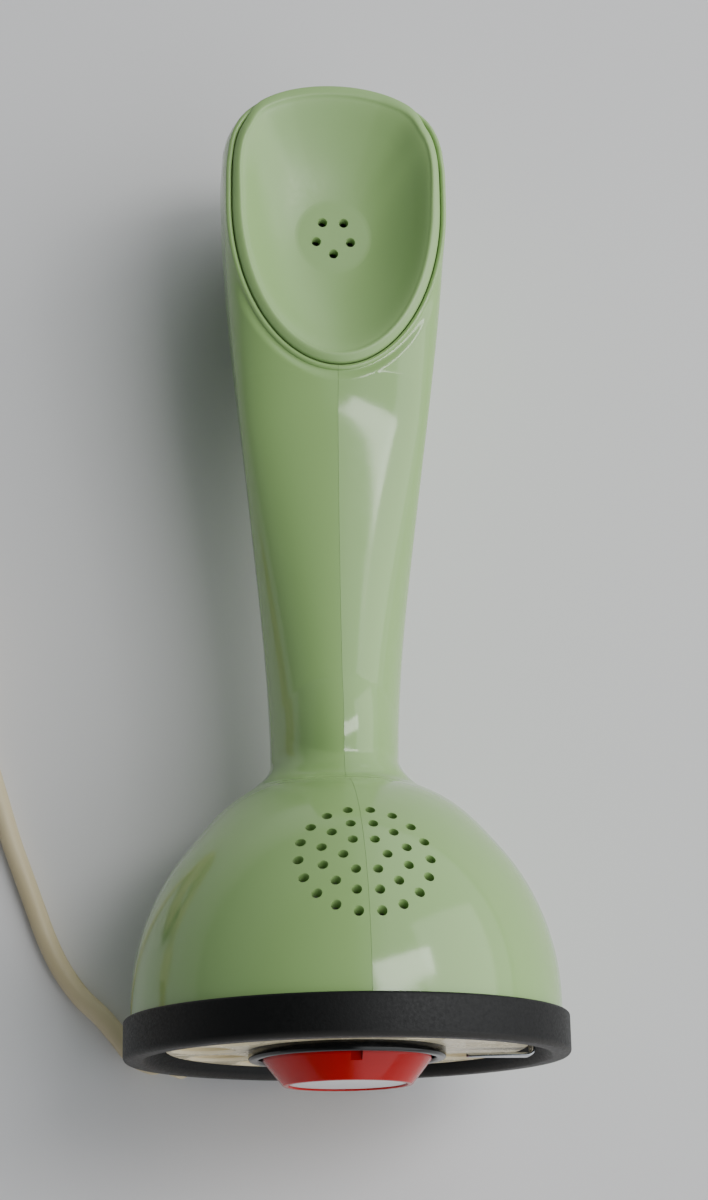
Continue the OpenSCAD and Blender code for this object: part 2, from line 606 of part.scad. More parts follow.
// Dial face: number plate, finger stop, finger wheel and the hub with its glossy collar
plate_r = wheel_d / 2 + 0.2;
collar_r = collar_d / 2;
collar_in = plunger_d / 2 + 0.4;
flange_r = collar_r + 2.8;
shaft_r = shaft_d / 2;
stem_bore = stem_d / 2 + run_fit;
finger_holes = 10;
first_hole = 60;
module number_plate() {
    color("#e6dcc0") lay() translate([0, 0, plate_h]) difference() {
        cylinder(r = plate_r, h = plate_t, $fn = 96);
        translate([0, 0, -1]) cylinder(r = well_r, h = plate_t + 2, $fn = 96);
    }
}
module finger_stop() {
    stop_t = 0.9;
    stop_h = wheel_in - stop_t - 0.4;
    leg_in = plate_r + 0.4;
    leg_out = foot_bore_d / 2 - 0.4;
    hook = [[leg_in, stop_w / 2], [leg_in - 6, stop_w / 2 - 0.3], [finger_pcd / 2 - 3.5, 0.9],
        [finger_pcd / 2 - 5, 0], [finger_pcd / 2 - 3, -0.9], [leg_in, -stop_w / 2]];
    color("#c4c6c8") lay() {
        translate([0, 0, stop_h]) linear_extrude(stop_t) polygon(hook);
        translate([leg_in - eps, -stop_w / 2, stop_h]) cube([leg_out - leg_in, stop_w, foot_seat - stop_h]);
    }
}
module finger_wheel() {
    r = wheel_d / 2;
    color("#e9dfc4") lay() difference() {
        turned(concat([[collar_r, wheel_in]], corner(r - 0.9, wheel_in + 0.9, 0.9, -90, 0),
            [[r, wheel_top], [collar_r, wheel_top]]));
        for (k = [0 : finger_holes - 1]) rotate([0, 0, -first_hole - k * finger_step])
            translate([finger_pcd / 2, 0, 0]) cylinder(d = finger_d, h = foot_h);
    }
}
module wheel_hub() {
    edge = 0.9;
    color("#141414") lay() turned(concat(corner(collar_in + edge, edge, edge, 180, 270),
        corner(collar_r - edge, edge, edge, -90, 0), [[collar_r, wheel_top], [flange_r, wheel_top],
        [flange_r, wheel_top + flange_t], [collar_r, wheel_top + flange_t], [collar_r, hub_top],
        [shaft_r, hub_top], [shaft_r, floor_h], [collar_in, floor_h]]));
}

// Dial works: frame, bridge, bearing and shaft
gear_r = gear_mod * gear_teeth / 2;
pinion_r = gear_mod * pinion_teeth / 2;
pulse_f = -(gear_r + pinion_r);
speed_reach = speed_mod * (speed_teeth + speed_pinion) / 2;
speed_turn = 10;
speed_x = speed_reach * cos(speed_turn);
speed_f = pulse_f + speed_reach * sin(speed_turn);
pulse_shaft_r = 1.2;
speed_shaft_r = 1;
pillar_r = 2;
foot_at = well_r + pillar_r + 0.4;
function round_about(a) = foot_at * [cos(a), sin(a)];
pillars = [round_about(155), round_about(25), round_about(-141), round_about(-21)];
works_x = foot_at + 0.6;
works_f = 13;
bush_r = 8;
module plate_holes(h, middle) {
    translate([0, 0, h - 1]) cylinder(r = middle, h = frame_t + 2);
    put(0, pulse_f, h - 1) cylinder(r = pulse_shaft_r + run_fit, h = frame_t + 2);
    put(speed_x, speed_f, h - 1) cylinder(r = speed_shaft_r + run_fit, h = frame_t + 2);
}
module works_plate() {
    rear = pulse_f - 5;
    linear_extrude(frame_t) mirror([0, 1]) polygon([[-works_x, works_f], [works_x, works_f], [works_x, -12],
        [speed_x + 6, rear], [-works_x + 2, rear], [-works_x, -12]]);
}
module dial_frame() {
    color("#b5a46a") lay() difference() {
        union() {
            translate([0, 0, frame_h]) works_plate();
            for (p = pillars) put(p[0], p[1], chassis_top)
                cylinder(r = pillar_r, h = frame_h - chassis_top + eps);
        }
        plate_holes(frame_h, bush_r);
    }
}
module frame_pillars() {
    color("#b5a46a") lay() for (p = pillars) put(p[0], p[1], frame_top)
        cylinder(r = pillar_r, h = bridge_h - frame_top);
}
module top_bridge() {
    color("#b5a46a") lay() difference() {
        translate([0, 0, bridge_h]) works_plate();
        plate_holes(bridge_h, shaft_r + run_fit);
    }
}
module bearing_bush() {
    low = hub_top + part_gap;
    color("#c39a4a") lay() washer(bush_r, shaft_r + run_fit, speed_h + 0.6 - low, low);
}
module wheel_shaft() {
    color("#b9bcbd") lay() washer(shaft_r, stem_bore, shaft_top - floor_h, floor_h);
}

// Gears: straight-sided teeth with some backlash
tooth = [[-0.29, -1.1], [-0.11, 0.8], [0.11, 0.8], [0.29, -1.1]];
function gear_outline(n, m) = [for (i = [0 : n - 1]) for (c = tooth)
    let (a = 360 / n * (i + c[0]), r = m * (n / 2 + c[1])) r * [cos(a), sin(a)]];
module gear(n, m, w, bore) {
    difference() {
        linear_extrude(w) polygon(gear_outline(n, m));
        translate([0, 0, -1]) cylinder(r = bore, h = w + 2);
    }
}
module main_gear() {
    // A tooth points at the impulse shaft, straight behind the dial's axis
    color("#c9a44c") lay() translate([0, 0, gear_h]) difference() {
        rotate([0, 0, 90]) gear(gear_teeth, gear_mod, gear_w, shaft_r);
        for (k = [0 : 3]) rotate([0, 0, 45 + 90 * k]) translate([(gear_r + shaft_r) / 2, 0, -1])
            cylinder(r = 4, h = gear_w + 2);
    }
}
module return_spring() {
    turns = 5;
    strip = 0.4;
    inner = shaft_r + 0.4;
    grow = (gear_r - 4 - inner) / (360 * turns);
    arc = function (extra) [for (a = [0 : 15 : 360 * turns]) (inner + extra + grow * a) * [cos(a), sin(a)]];
    a = arc(0);
    b = arc(strip);
    end = inner + grow * 360 * turns;
    reach = norm(pillars[1]) - pillar_r;
    color("#5d6670") lay() translate([0, 0, spring_h]) rotate([0, 0, -atan2(pillars[1][1], pillars[1][0])])
        linear_extrude(spring_w) polygon(concat(a,
            [[end, strip], [reach, strip], [reach, 0]], [for (i = [len(b) - 1 : -1 : 0]) b[i]]));
}
module impulse_shaft() {
    color("#c9cacb") lay() put(0, pulse_f, frame_h) cylinder(r = pulse_shaft_r, h = bridge_top - frame_h);
}
module impulse_pinion() {
    // A gap faces the dial's gear
    color("#c9a44c") lay() put(0, pulse_f, gear_h)
        rotate([0, 0, -90 + 180 / pinion_teeth]) gear(pinion_teeth, gear_mod, gear_w, pulse_shaft_r);
}
cam_r = 4.8;
module impulse_cam() {
    lobes = 3;
    lift = 0.8;
    color("#d8d2c0") lay() put(0, pulse_f, cam_h) difference() {
        linear_extrude(cam_w) polygon([for (a = [0 : 6 : 354])
            (cam_r - lift + lift * cos(lobes * a)) * [cos(a), sin(a)]]);
        translate([0, 0, -1]) cylinder(r = pulse_shaft_r, h = cam_w + 2);
    }
}
module speed_gear() {
    // A tooth points at the governor's pinion
    color("#c9a44c") lay() put(0, pulse_f, speed_h)
        rotate([0, 0, -speed_turn]) gear(speed_teeth, speed_mod, gear_w, pulse_shaft_r);
}
block_x = -19;
block_w = 6;
module contact_block() {
    low = cam_h - 1.4;
    color("#6b4a34") lay() put(block_x, pulse_f + 2.5, low) cube([block_w, 6, bridge_h - low]);
}
module impulse_contacts() {
    blade = 0.3;
    root = block_x + block_w;
    color("#c9b06a") lay() {
        put(root, pulse_f + blade / 2, cam_h) cube([-cam_r - part_gap - root, blade, cam_w]);
        put(root, pulse_f + 2, cam_h) cube([4.6, blade, cam_w]);
    }
}
// Governor: a cross bar with two weights that swing out against the drum
drum_r = 7.4;
drum_t = 0.6;
drum_h = gear_h + gear_w + 0.5;
bar_h = drum_h + 0.8;
bar_t = 1.2;
weight_r = 1.8;
weight_at = drum_r - drum_t - weight_r - 0.6;
module governor_rotor() {
    color("#c9cacb") lay() put(speed_x, speed_f, 0) {
        translate([0, 0, frame_h]) cylinder(r = speed_shaft_r, h = bridge_top - frame_h);
        translate([0, 0, speed_h]) rotate([0, 0, 180 - speed_turn + 180 / speed_pinion])
            gear(speed_pinion, speed_mod, gear_w, speed_shaft_r - eps);
        translate([-weight_at - 1.2, -1.2, bar_h]) cube([2 * weight_at + 2.4, 2.4, bar_t]);
    }
}
module governor_weights() {
    color("#b08d3e") lay() put(speed_x, speed_f, bar_h + bar_t) for (side = [-1, 1])
        translate([side * weight_at, 0, 0]) cylinder(r = weight_r, h = 2.6);
}
module governor_drum() {
    color("#a8a9a4") lay() put(speed_x, speed_f, 0) difference() {
        translate([0, 0, drum_h]) cylinder(r = drum_r, h = bridge_h - drum_h);
        translate([0, 0, drum_h - 1]) cylinder(r = drum_r - drum_t, h = bridge_h - drum_h + 1 - 0.9);
        cylinder(r = speed_shaft_r + part_gap, h = bridge_h + 1);
    }
}

// Hook plunger
plunger_r = plunger_d / 2;
tip_r = plunger_tip_d / 2;
stem_r = stem_d / 2;
disc_recess = 0.8;
rim_w = 1.3;
stem_foot = -2.4;
module plunger_cap() {
    notch_w = 2.5;
    notch_deep = 1.3;
    color("#c5161b") lay() difference() {
        turned(concat([[0, -plunger_out + disc_recess], [tip_r - rim_w, -plunger_out + disc_recess],
            [tip_r - rim_w, -plunger_out]], corner(tip_r - 0.5, -plunger_out + 0.5, 0.5, -90, -30),
            [[plunger_r, 0], [plunger_r, skirt_h], [plunger_r - 2, skirt_h], [plunger_r - 2, -1],
            [stem_r + 2, -1], [stem_r + 2, skirt_h], [stem_r, skirt_h], [stem_r, stem_foot],
            [0, stem_foot]]));
        put(-notch_w / 2, plunger_r + 1, -2.6) cube([notch_w, 1 + notch_deep, 2.6 + skirt_h + 1]);
    }
}
module plunger_disc() {
    sunk = 0.2;
    color("#d9d9d6") lay() translate([0, 0, -plunger_out + sunk])
        cylinder(r = tip_r - rim_w - 0.1, h = disc_recess - sunk);
}
module plunger_stem() {
    color("#c9cacb") lay() translate([0, 0, stem_foot]) cylinder(r = stem_r, h = stem_top - stem_foot);
}
clip_h = 1;
module stem_clip() {
    color("#8d8f90") lay() washer(stem_r + 2.9, stem_r, clip_h, shaft_top + part_gap);
}
module plunger_spring() {
    wire = 0.9;
    turns = 6;
    low = shaft_top + part_gap + clip_h + wire / 2 + 0.1;
    high = hook_h - wire / 2 - 0.1;
    r = stem_r + 2.1;
    color("#8d8f90") lay() tube([for (i = [0 : 10 * turns]) [r * cos(36 * i), r * sin(36 * i),
        low + (high - low) * i / (10 * turns)]], wire / 2, 6, [0, 0, 1]);
}

// Hook switch on a bracket above the dial works
bracket_x = 12;
bracket_f = 7;
bracket_l = 20;
hook_leg_f = 2;
hook_leg_l = 9;
module hook_bracket() {
    leg = 1.6;
    color("#a8a9a4") lay() difference() {
        union() {
            put(-bracket_x, bracket_f, hook_h) cube([2 * bracket_x, bracket_l, hook_t]);
            for (side = [-1, 1]) put(side * (bracket_x - leg / 2) - leg / 2, hook_leg_f, bridge_top)
                cube([leg, hook_leg_l, hook_h - bridge_top + eps]);
        }
        translate([0, 0, hook_h - 1]) cylinder(r = stem_r + run_fit, h = hook_t + 2);
    }
}
block_h = 7;
module hook_block() {
    color("#6b4a34") lay() put(-8, -6, hook_h + hook_t) cube([16, 6.5, block_h]);
}
module hook_leaves() {
    leaf = 0.35;
    low = stem_top + part_gap;
    color("#c9b06a") lay() for (side = [-1, 1]) for (k = [0, 1])
        put(side * 1.9 - 1.3, 4 - 2 * k, low + 1.5 * k) cube([2.6, 10 - 2 * k, leaf]);
}

// Speech circuit on the chassis
core_x = works_x + 0.9;
core_w = bell_r - wall - 7.1 - core_x;
core_l = 22;
core_t = 4;
core_h = 17;
module coil_core() {
    color("#77797b") lay() put(core_x, 12, chassis_top) difference() {
        cube([core_w, core_l, core_h]);
        translate([-1, core_t, core_t]) cube([core_w + 2, core_l - 2 * core_t, core_h - 2 * core_t]);
    }
}
module induction_coil() {
    color("#8a5a2c") lay() put(core_x + 0.8, 12 - core_t - 0.2, chassis_top + core_t)
        cube([core_w - 1.6, core_l - 2 * core_t - 0.4, core_h - 2 * core_t]);
}
strap_t = 0.8;
can_r = (bell_r - wall - 6.6 - works_x) / 2 - strap_t - part_gap;
can_room = 1.55;
can_x = -works_x - can_r - strap_t - part_gap;
can_f = -5;
can_l = boss_r * cos(boss_angles[0]) - boss_d / 2 - can_room - can_f;
module capacitor() {
    color("#b3b4b0") lay() put(can_x, can_f, chassis_top + can_r + strap_t)
        rotate([90, 0, 0]) cylinder(r = can_r, h = can_l);
}
module capacitor_strap() {
    strap_w = 7;
    color("#a8a9a4") lay() {
        put(can_x, can_f + 6, chassis_top + can_r + strap_t) rotate([90, 0, 0]) difference() {
            washer(can_r + strap_t, can_r, strap_w);
            translate([0, -can_r - 10, -1]) cube([20, 10, strap_w + 2]);
        }
        put(can_x - 1, can_f + 6 + strap_w, chassis_top) cube([2, strap_w, strap_t]);
    }
}
strip_x = -(bell_r - wall - 11.5);
strip_w = -strip_x - works_x - 0.4;
lead_x = strip_x + 1.8;
strip_f = -8;
strip_l = 18;
strip_h = 7;
strip_top = chassis_top + strip_h;
module at_terminals() {
    for (k = [0 : 3]) put(strip_x + strip_w - 2.2, strip_f - 2.4 - 4.4 * k, strip_top) children();
}
module terminal_strip() {
    color("#6b4a34") lay() difference() {
        put(strip_x, strip_f, chassis_top) cube([strip_w, strip_l, strip_h]);
        at_terminals() translate([0, 0, -4]) cylinder(d = 2, h = 5);
    }
}
module terminal_screws() {
    color("#c39a4a") lay() at_terminals() {
        cylinder(d = 3.6, h = 1.4);
        translate([0, 0, -4]) cylinder(d = 2, h = 4.5);
    }
}

// Line cord: points are [right, towards the head, up] from the foot ring's face and the table
cord_r = cord_d / 2;
module on_table() {
    translate([0, -y_shift, 0]) children();
}
module cord_gland() {
    boot = 0.9;
    skin_gap = 0.2;
    color("#cdbf9d") lay() {
        gland_line(gland_in) cylinder(r = gland_r, h = foot_r - gland_in + eps);
        gland_line(foot_r + skin_gap)
            cylinder(r1 = gland_r + boot, r2 = cord_r + 0.4, h = gland_out - foot_r - skin_gap);
        gland_line(foot_r - 1) cylinder(r = gland_r, h = 1 + skin_gap + eps);
    }
}
module line_lead() {
    // Points are [out along the gland's line, up], then the way to the terminals
    bend = [[gland_in - 0.05, gland_h], [gland_in - 0.4, gland_h], [lead_r + 0.5, gland_h + 0.3],
        [lead_r, gland_h + 1.2], [lead_r, gland_h + 3.4], [lead_r, chassis_top],
        [lead_r - 1.4, chassis_top + 2.4]];
    strip_end = -strip_f + strip_l;
    way = concat([for (p = bend) [p[0] * sin(gland_turn), -p[0] * cos(gland_turn), p[1]]],
        [[lead_x, strip_end + 2.4, chassis_top + 3.8], [lead_x, strip_end + 1, chassis_top + 3.8],
        [lead_x, strip_end + 0.05, chassis_top + 3.8]]);
    color("#cdbf9d") lay() tube(spline(way, 2), line_lead_r, 8, [1, 1, 0]);
}
tie_t = 0.8;
tie_w = 10;
coil_x = -122;
coil_y = 100;
coil_pitch = cord_d + coil_gap;
coil_z = tie_t + part_gap + cord_r;
coil_out = coil_d / 2 + coil_pitch * coil_turns / 2;
turn_back = 360 * (coil_turns + 0.25);
coil_end = 360 * (2 * coil_turns + 0.5);
function climb(a) = let (s = min(1, max(0, (a - 360 * coil_turns) / 180))) s * s * (3 - 2 * s);
function coil_radius(a) = coil_out - coil_pitch * (turn_back - abs(a - turn_back)) / 360;
function coil_point(a) = [coil_x + coil_radius(a) * cos(a), coil_y + coil_radius(a) * sin(a),
    coil_z + coil_pitch * climb(a)];
coil_ring = 15;
coil_turn_points = [for (a = [0 : coil_ring : coil_end]) coil_point(a)];
coil_last = coil_point(coil_end);
coil_tail = 24;
coil_finish = coil_last + coil_tail * [-sin(coil_end), cos(coil_end), 0];
coil_start = coil_turn_points[0] - [0, cord_d, 0];
coil_path = concat([coil_start], coil_turn_points, [coil_finish]);
half_loop = 12;
coil_self_gap = min([for (i = [0 : len(coil_path) - 1]) for (j = [i + half_loop : 1 : len(coil_path) - 1])
    norm(coil_path[i] - coil_path[j])]) - cord_d;
echo(coil_self_gap = coil_self_gap);

function gland_point(r) = [r * sin(gland_turn), gland_h, foot_r + r * cos(gland_turn)];
cord_way = [gland_point(gland_out), gland_point(gland_out + 3), gland_point(gland_out + 6), [-45.6, 6, 4],
    [-49.4, 10.8, 2.6], [-53.4, 15.4, cord_r], [-58.4, 20.2, cord_r], [-63, 26.6, cord_r],
    [-66.6, 33.8, cord_r], [-69.6, 41.6, cord_r], [-72.4, 49, cord_r], [-75.6, 57.6, cord_r],
    [-78.8, 67.8, cord_r], [-82, 78, 2.6], [-84.6, 86, 3.1], coil_start - [0, cord_d, 0], coil_start];
module line_cord() {
    color("#d8c9a6") on_table() tube(spline(cord_way, 2), cord_r, 10, [0, 0, 1]);
}
module cord_coil() {
    color("#d8c9a6") on_table() tube(coil_path, cord_r, 6, [0, 0, 1]);
}
module cord_tie() {
    // A flat strap round the bundle on the side towards the foot ring
    inside = coil_out - coil_pitch * coil_turns - cord_r - 0.6;
    outside = coil_out - 0.5 * coil_pitch + cord_r + 0.6;
    high = coil_z + coil_pitch + cord_r + part_gap;
    color("#4a4a4c") on_table() translate([coil_x - tie_w / 2, coil_y - outside - tie_t, 0]) difference() {
        cube([tie_w, outside - inside + 2 * tie_t, high + tie_t]);
        translate([-1, tie_t, tie_t]) cube([tie_w + 2, outside - inside, high - tie_t]);
    }
}
// Plug on the table beside the coil
plug_l = 30;
plug_w = 24;
plug_z = coil_last[2];
plug_neck = 9;
module plug_place() {
    on_table() translate(coil_finish) rotate([90, 0, 0]) children();
}
module cord_plug() {
    round_r = 4;
    color("#d8c9a6") plug_place() {
        cylinder(r1 = cord_r + 0.8, r2 = cord_r + 2, h = plug_neck + eps);
        translate([0, 0, plug_neck]) linear_extrude(plug_l) union() {
            square([plug_w - 2 * round_r, 2 * plug_z], center = true);
            square([plug_w, 2 * plug_z - 2 * round_r], center = true);
            for (x = [-1, 1]) for (y = [-1, 1])
                translate([x * (plug_w / 2 - round_r), y * (plug_z - round_r)]) circle(r = round_r);
        }
    }
}
module plug_pins() {
    pin_l = 14;
    color("#c8b26a") plug_place() for (x = [-6, 0, 6]) translate([x, x == 0 ? 4 : -2, plug_neck + plug_l]) {
        cylinder(r = 1.8, h = pin_l - 1);
        translate([0, 0, pin_l - 1]) cylinder(r1 = 1.8, r2 = 1, h = 1);
    }
}

shell_left();
shell_right();
ear_cap();
receiver_gasket();
receiver_capsule();
receiver_clip();
receiver_screws();
receiver_lead();
transmitter_gasket();
transmitter_capsule();
transmitter_holder();
transmitter_lead();
foot_ring();
chassis_plate();
chassis_screws();
number_plate();
finger_stop();
finger_wheel();
wheel_hub();
wheel_shaft();
bearing_bush();
dial_frame();
frame_pillars();
top_bridge();
main_gear();
return_spring();
impulse_shaft();
impulse_pinion();
impulse_cam();
speed_gear();
impulse_contacts();
contact_block();
governor_rotor();
governor_weights();
governor_drum();
plunger_cap();
plunger_disc();
plunger_stem();
stem_clip();
plunger_spring();
hook_bracket();
hook_block();
hook_leaves();
induction_coil();
coil_core();
capacitor();
capacitor_strap();
terminal_strip();
terminal_screws();
cord_gland();
line_lead();
line_cord();
cord_coil();
cord_tie();
cord_plug();
plug_pins();
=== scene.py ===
import math
import bmesh
import bpy
import numpy as np
from mathutils import Matrix, Vector


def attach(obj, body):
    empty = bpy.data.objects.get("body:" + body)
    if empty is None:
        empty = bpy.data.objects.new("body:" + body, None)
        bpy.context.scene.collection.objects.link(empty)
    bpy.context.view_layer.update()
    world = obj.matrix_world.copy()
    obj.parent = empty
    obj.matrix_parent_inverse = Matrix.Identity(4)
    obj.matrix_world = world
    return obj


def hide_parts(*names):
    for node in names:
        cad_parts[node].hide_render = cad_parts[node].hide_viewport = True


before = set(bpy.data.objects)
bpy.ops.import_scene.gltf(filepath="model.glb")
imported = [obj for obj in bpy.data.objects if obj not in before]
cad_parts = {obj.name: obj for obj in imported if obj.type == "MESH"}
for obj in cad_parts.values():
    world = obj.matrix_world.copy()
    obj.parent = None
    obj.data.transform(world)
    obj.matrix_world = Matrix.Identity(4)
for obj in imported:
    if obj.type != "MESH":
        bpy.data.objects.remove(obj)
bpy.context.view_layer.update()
scene = bpy.context.scene

# Camera: held above the foot end and a little to the left, looking down on the telephone.
# Its place and turns lie between a fit to the foot ring and one to the head.
PHOTO_H = 1200
LENS_PX = 2300
CAMERA_AT = (-0.0571, -0.1640, 0.5569)
CAMERA_TURNS = (("Y", -6.8), ("X", 16.93), ("Z", -1.13))
camera_data = bpy.data.cameras.new("photo_camera")
camera_data.sensor_width = 36.0
camera_data.lens = camera_data.sensor_width * LENS_PX / PHOTO_H
camera = bpy.data.objects.new("photo_camera", camera_data)
camera_pose = Matrix.Translation(CAMERA_AT)
for axis, degrees in CAMERA_TURNS:
    camera_pose = camera_pose @ Matrix.Rotation(math.radians(degrees), 4, axis)
camera.matrix_world = camera_pose
scene.collection.objects.link(camera)
scene.camera = camera

# Line cord: a round flex in smooth cream PVC, pressed out in one length. It leaves the foot ring
# through a short gland, drops to the table and ends in the plug beside its put-away coil.
MM = 0.001
FOOT_R = 49.0
Y_SHIFT = 113.8
CORD_D = 4.8
CORD_R = CORD_D / 2
GLAND_TURN = math.radians(-135)
GLAND_H = 3.7
GLAND_OUT = 53.0


def srgb(code):
    """A linear colour from an sRGB hex value."""
    shares = [int(code[i:i + 2], 16) / 255 for i in (1, 3, 5)]
    return [c / 12.92 if c <= 0.04045 else ((c + 0.055) / 1.055) ** 2.4 for c in shares] + [1.0]


def add(tree, kind, inputs, **settings):
    """One node with its settings, and its sockets linked or set."""
    made = tree.nodes.new(kind)
    for name, value in settings.items():
        setattr(made, name, value)
    for name, value in inputs.items():
        if isinstance(value, bpy.types.NodeSocket):
            tree.links.new(value, made.inputs[name])
        else:
            made.inputs[name].default_value = value
    return made


def per_m(millimetres):
    """The texture scale that repeats a pattern after so many millimetres."""
    return 1 / (millimetres * MM)


def put(name, data):
    """A new object in the scene."""
    made = bpy.data.objects.new(name, data)
    scene.collection.objects.link(made)
    return made


def reckon(tree, operation, *values):
    """The result of one sum on numbers or sockets."""
    return add(tree, "ShaderNodeMath", dict(enumerate(values)), operation=operation).outputs[0]


def blend(tree, share, first, second):
    """A colour between two others."""
    return add(tree, "ShaderNodeMix", {0: share, 6: first, 7: second}, data_type="RGBA").outputs[2]


def emboss(tree, shader, height, strength):
    """Relief that follows a height."""
    bump = add(tree, "ShaderNodeBump", {"Height": height, "Strength": strength, "Distance": 0.0003})
    tree.links.new(bump.outputs["Normal"], shader.inputs["Normal"])


def aged(name, pale, deep, patch, grain, gloss, relief, metal=0.0, ior=1.5, specular=0.5):
    """A material that drifts in colour over patches, with gloss and relief that follow a finer grain."""
    material = bpy.data.materials.new(name)
    material.use_nodes = True
    tree = material.node_tree
    shader = tree.nodes["Principled BSDF"]
    where = add(tree, "ShaderNodeTexCoord", {}).outputs["Object"]
    drift = add(tree, "ShaderNodeTexNoise", {"Vector": where, "Scale": per_m(patch), "Detail": 4.0})
    tone = blend(tree, drift.outputs["Fac"], srgb(pale), srgb(deep))
    fine = add(tree, "ShaderNodeTexNoise", {"Vector": where, "Scale": per_m(grain), "Detail": 5.0,
        "Roughness": 0.65})
    shine = add(tree, "ShaderNodeMapRange", {"Value": fine.outputs["Fac"], "From Min": 0.3, "From Max": 0.7,
        "To Min": gloss[0], "To Max": gloss[1]})
    tree.links.new(tone, shader.inputs["Base Color"])
    tree.links.new(shine.outputs["Result"], shader.inputs["Roughness"])
    emboss(tree, shader, fine.outputs["Fac"], relief)
    shader.inputs["Metallic"].default_value = metal
    shader.inputs["IOR"].default_value = ior
    shader.inputs["Specular IOR Level"].default_value = specular
    return material, tree, shader, where, tone


def on_table(x, h, z):
    """Points right of the axis, up the telephone and above the table, in metres."""
    return np.stack(np.broadcast_arrays(x * MM, (h - Y_SHIFT) * MM, z * MM), -1)


def spline(points, n):
    """A smooth curve through the points, with n steps between two of them."""
    p = np.array([points[0], *points, points[-1]], float)
    t = (np.arange(n) / n)[:, None]
    runs = [b + (c - a) * t / 2 + (2 * a - 5 * b + 4 * c - d) * t ** 2 / 2
        + (3 * b - a - 3 * c + d) * t ** 3 / 2 for a, b, c, d in zip(p, p[1:], p[2:], p[3:])]
    return np.vstack([*runs, p[-1:]])


def gland_point(r):
    return (r * math.sin(GLAND_TURN), GLAND_H, FOOT_R + r * math.cos(GLAND_TURN))


COIL_X, COIL_Y, COIL_PITCH, COIL_TURNS, COIL_OUT, COIL_Z = -122.0, 100.0, 5.4, 4.0, 36.8, 3.5
COIL_TAIL = 24.0
TURN_BACK, COIL_END = 360 * (COIL_TURNS + 0.25), 360 * (2 * COIL_TURNS + 0.5)


def coil_point(a):
    """The coil winds inwards in one layer, climbs and winds out again in a second one."""
    s = min(1.0, max(0.0, (a - 360 * COIL_TURNS) / 180))
    r = COIL_OUT - COIL_PITCH * (TURN_BACK - abs(a - TURN_BACK)) / 360
    return (COIL_X + r * math.cos(math.radians(a)), COIL_Y + r * math.sin(math.radians(a)),
        COIL_Z + COIL_PITCH * s * s * (3 - 2 * s))


coil_turns = [coil_point(a) for a in np.arange(0, COIL_END + 1, 5)]
coil_start = (coil_turns[0][0], coil_turns[0][1] - CORD_D, coil_turns[0][2])
coil_finish = (coil_turns[-1][0], coil_turns[-1][1] - COIL_TAIL, coil_turns[-1][2])
cord_way = [gland_point(GLAND_OUT), gland_point(GLAND_OUT + 3), gland_point(GLAND_OUT + 6), (-45.6, 6, 4),
    (-49.4, 10.8, 2.6), (-53.4, 15.4, 2.4), (-58.4, 20.2, 2.4), (-63, 26.6, 2.4), (-66.6, 33.8, 2.4),
    (-69.6, 41.6, 2.4), (-72.4, 49, 2.4), (-75.6, 57.6, 2.4), (-78.8, 67.8, 2.4), (-82, 78, 2.6),
    (-84.6, 86, 3.1), (coil_start[0], coil_start[1] - CORD_D, coil_start[2]), coil_start]
cord_line = on_table(*np.vstack([spline(cord_way, 6), coil_turns, [coil_finish]]).T)

# Soft PVC: nearly even in colour, a little yellowed with age, with a waxy half gloss.
cord_pvc = aged("soft_pvc_cream", "#DCCEAC", "#C9B88E", 28, 3, (0.36, 0.5), 0.15)[0]

cord_curve = bpy.data.curves.new("line_flex", "CURVE")
cord_curve.dimensions = "3D"
cord_curve.bevel_depth = CORD_R * MM
cord_curve.bevel_resolution = 5
cord_curve.use_fill_caps = True
flex_spline = cord_curve.splines.new("POLY")
flex_spline.points.add(len(cord_line) - 1)
for knot, place in zip(flex_spline.points, cord_line):
    knot.co = (*place, 1.0)
flex_spline.use_smooth = True
cord_curve.materials.append(cord_pvc)
line_flex = put("line_flex", cord_curve)
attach(line_flex, "case")
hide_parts("line_cord", "cord_coil")

# Case halves: two mouldings in pale green glossy plastic, glued edge to edge on the median plane.
# The bell carries the mouth grille, and the head ends in a rounded lip round the ear cap.
BODY_H, BELL_R, BELL_H0, BELL_TOP, WALL = 233.0, 47.4, 12.0, 62.4, 2.4
NECK_W, WAIST_H, NECK_FRONT, NECK_BACK, HEAD_W = 29.8, 70.0, 3.4, 26.3, 54.6
LIP_TIP, LIP_W, LIP_T, LIP_FRONT, CAP_TILT = 160.3, 53.4, 1.4, 7.0, math.radians(3.8)
CROWN_POWER, LIP_POWER, BACK_POWER = 2.8, 4, 2.4
FOOT_SEAT = 7.0
HEAD_H, LIP_C, BELL_B, RIDGE = BODY_H - 21, BODY_H - 31, BELL_TOP - BELL_H0, 18.0
LIP_DOWN, LIP_UP = LIP_C - LIP_TIP, BODY_H - LIP_C


def bell(h):
    return BELL_R * math.sqrt(max(0.0, 1 - (max(0.0, h - BELL_H0) / BELL_B) ** 2))


def bell_height(a):
    return BELL_H0 + BELL_B * math.sin(math.radians(a))


def bell_slope(a):
    return -BELL_R / BELL_B * math.tan(math.radians(a))


def knotted(knots, h):
    """A smooth curve through knots of height, value and slope."""
    for a, b in zip(knots, knots[1:]):
        if h <= b[0] or b is knots[-1]:
            run = b[0] - a[0]
            s = (h - a[0]) / run
            return (a[1] * (1 - 3 * s * s + 2 * s ** 3) + a[2] * run * (s - 2 * s * s + s ** 3)
                + b[1] * (3 * s * s - 2 * s ** 3) + b[2] * run * (s ** 3 - s * s))


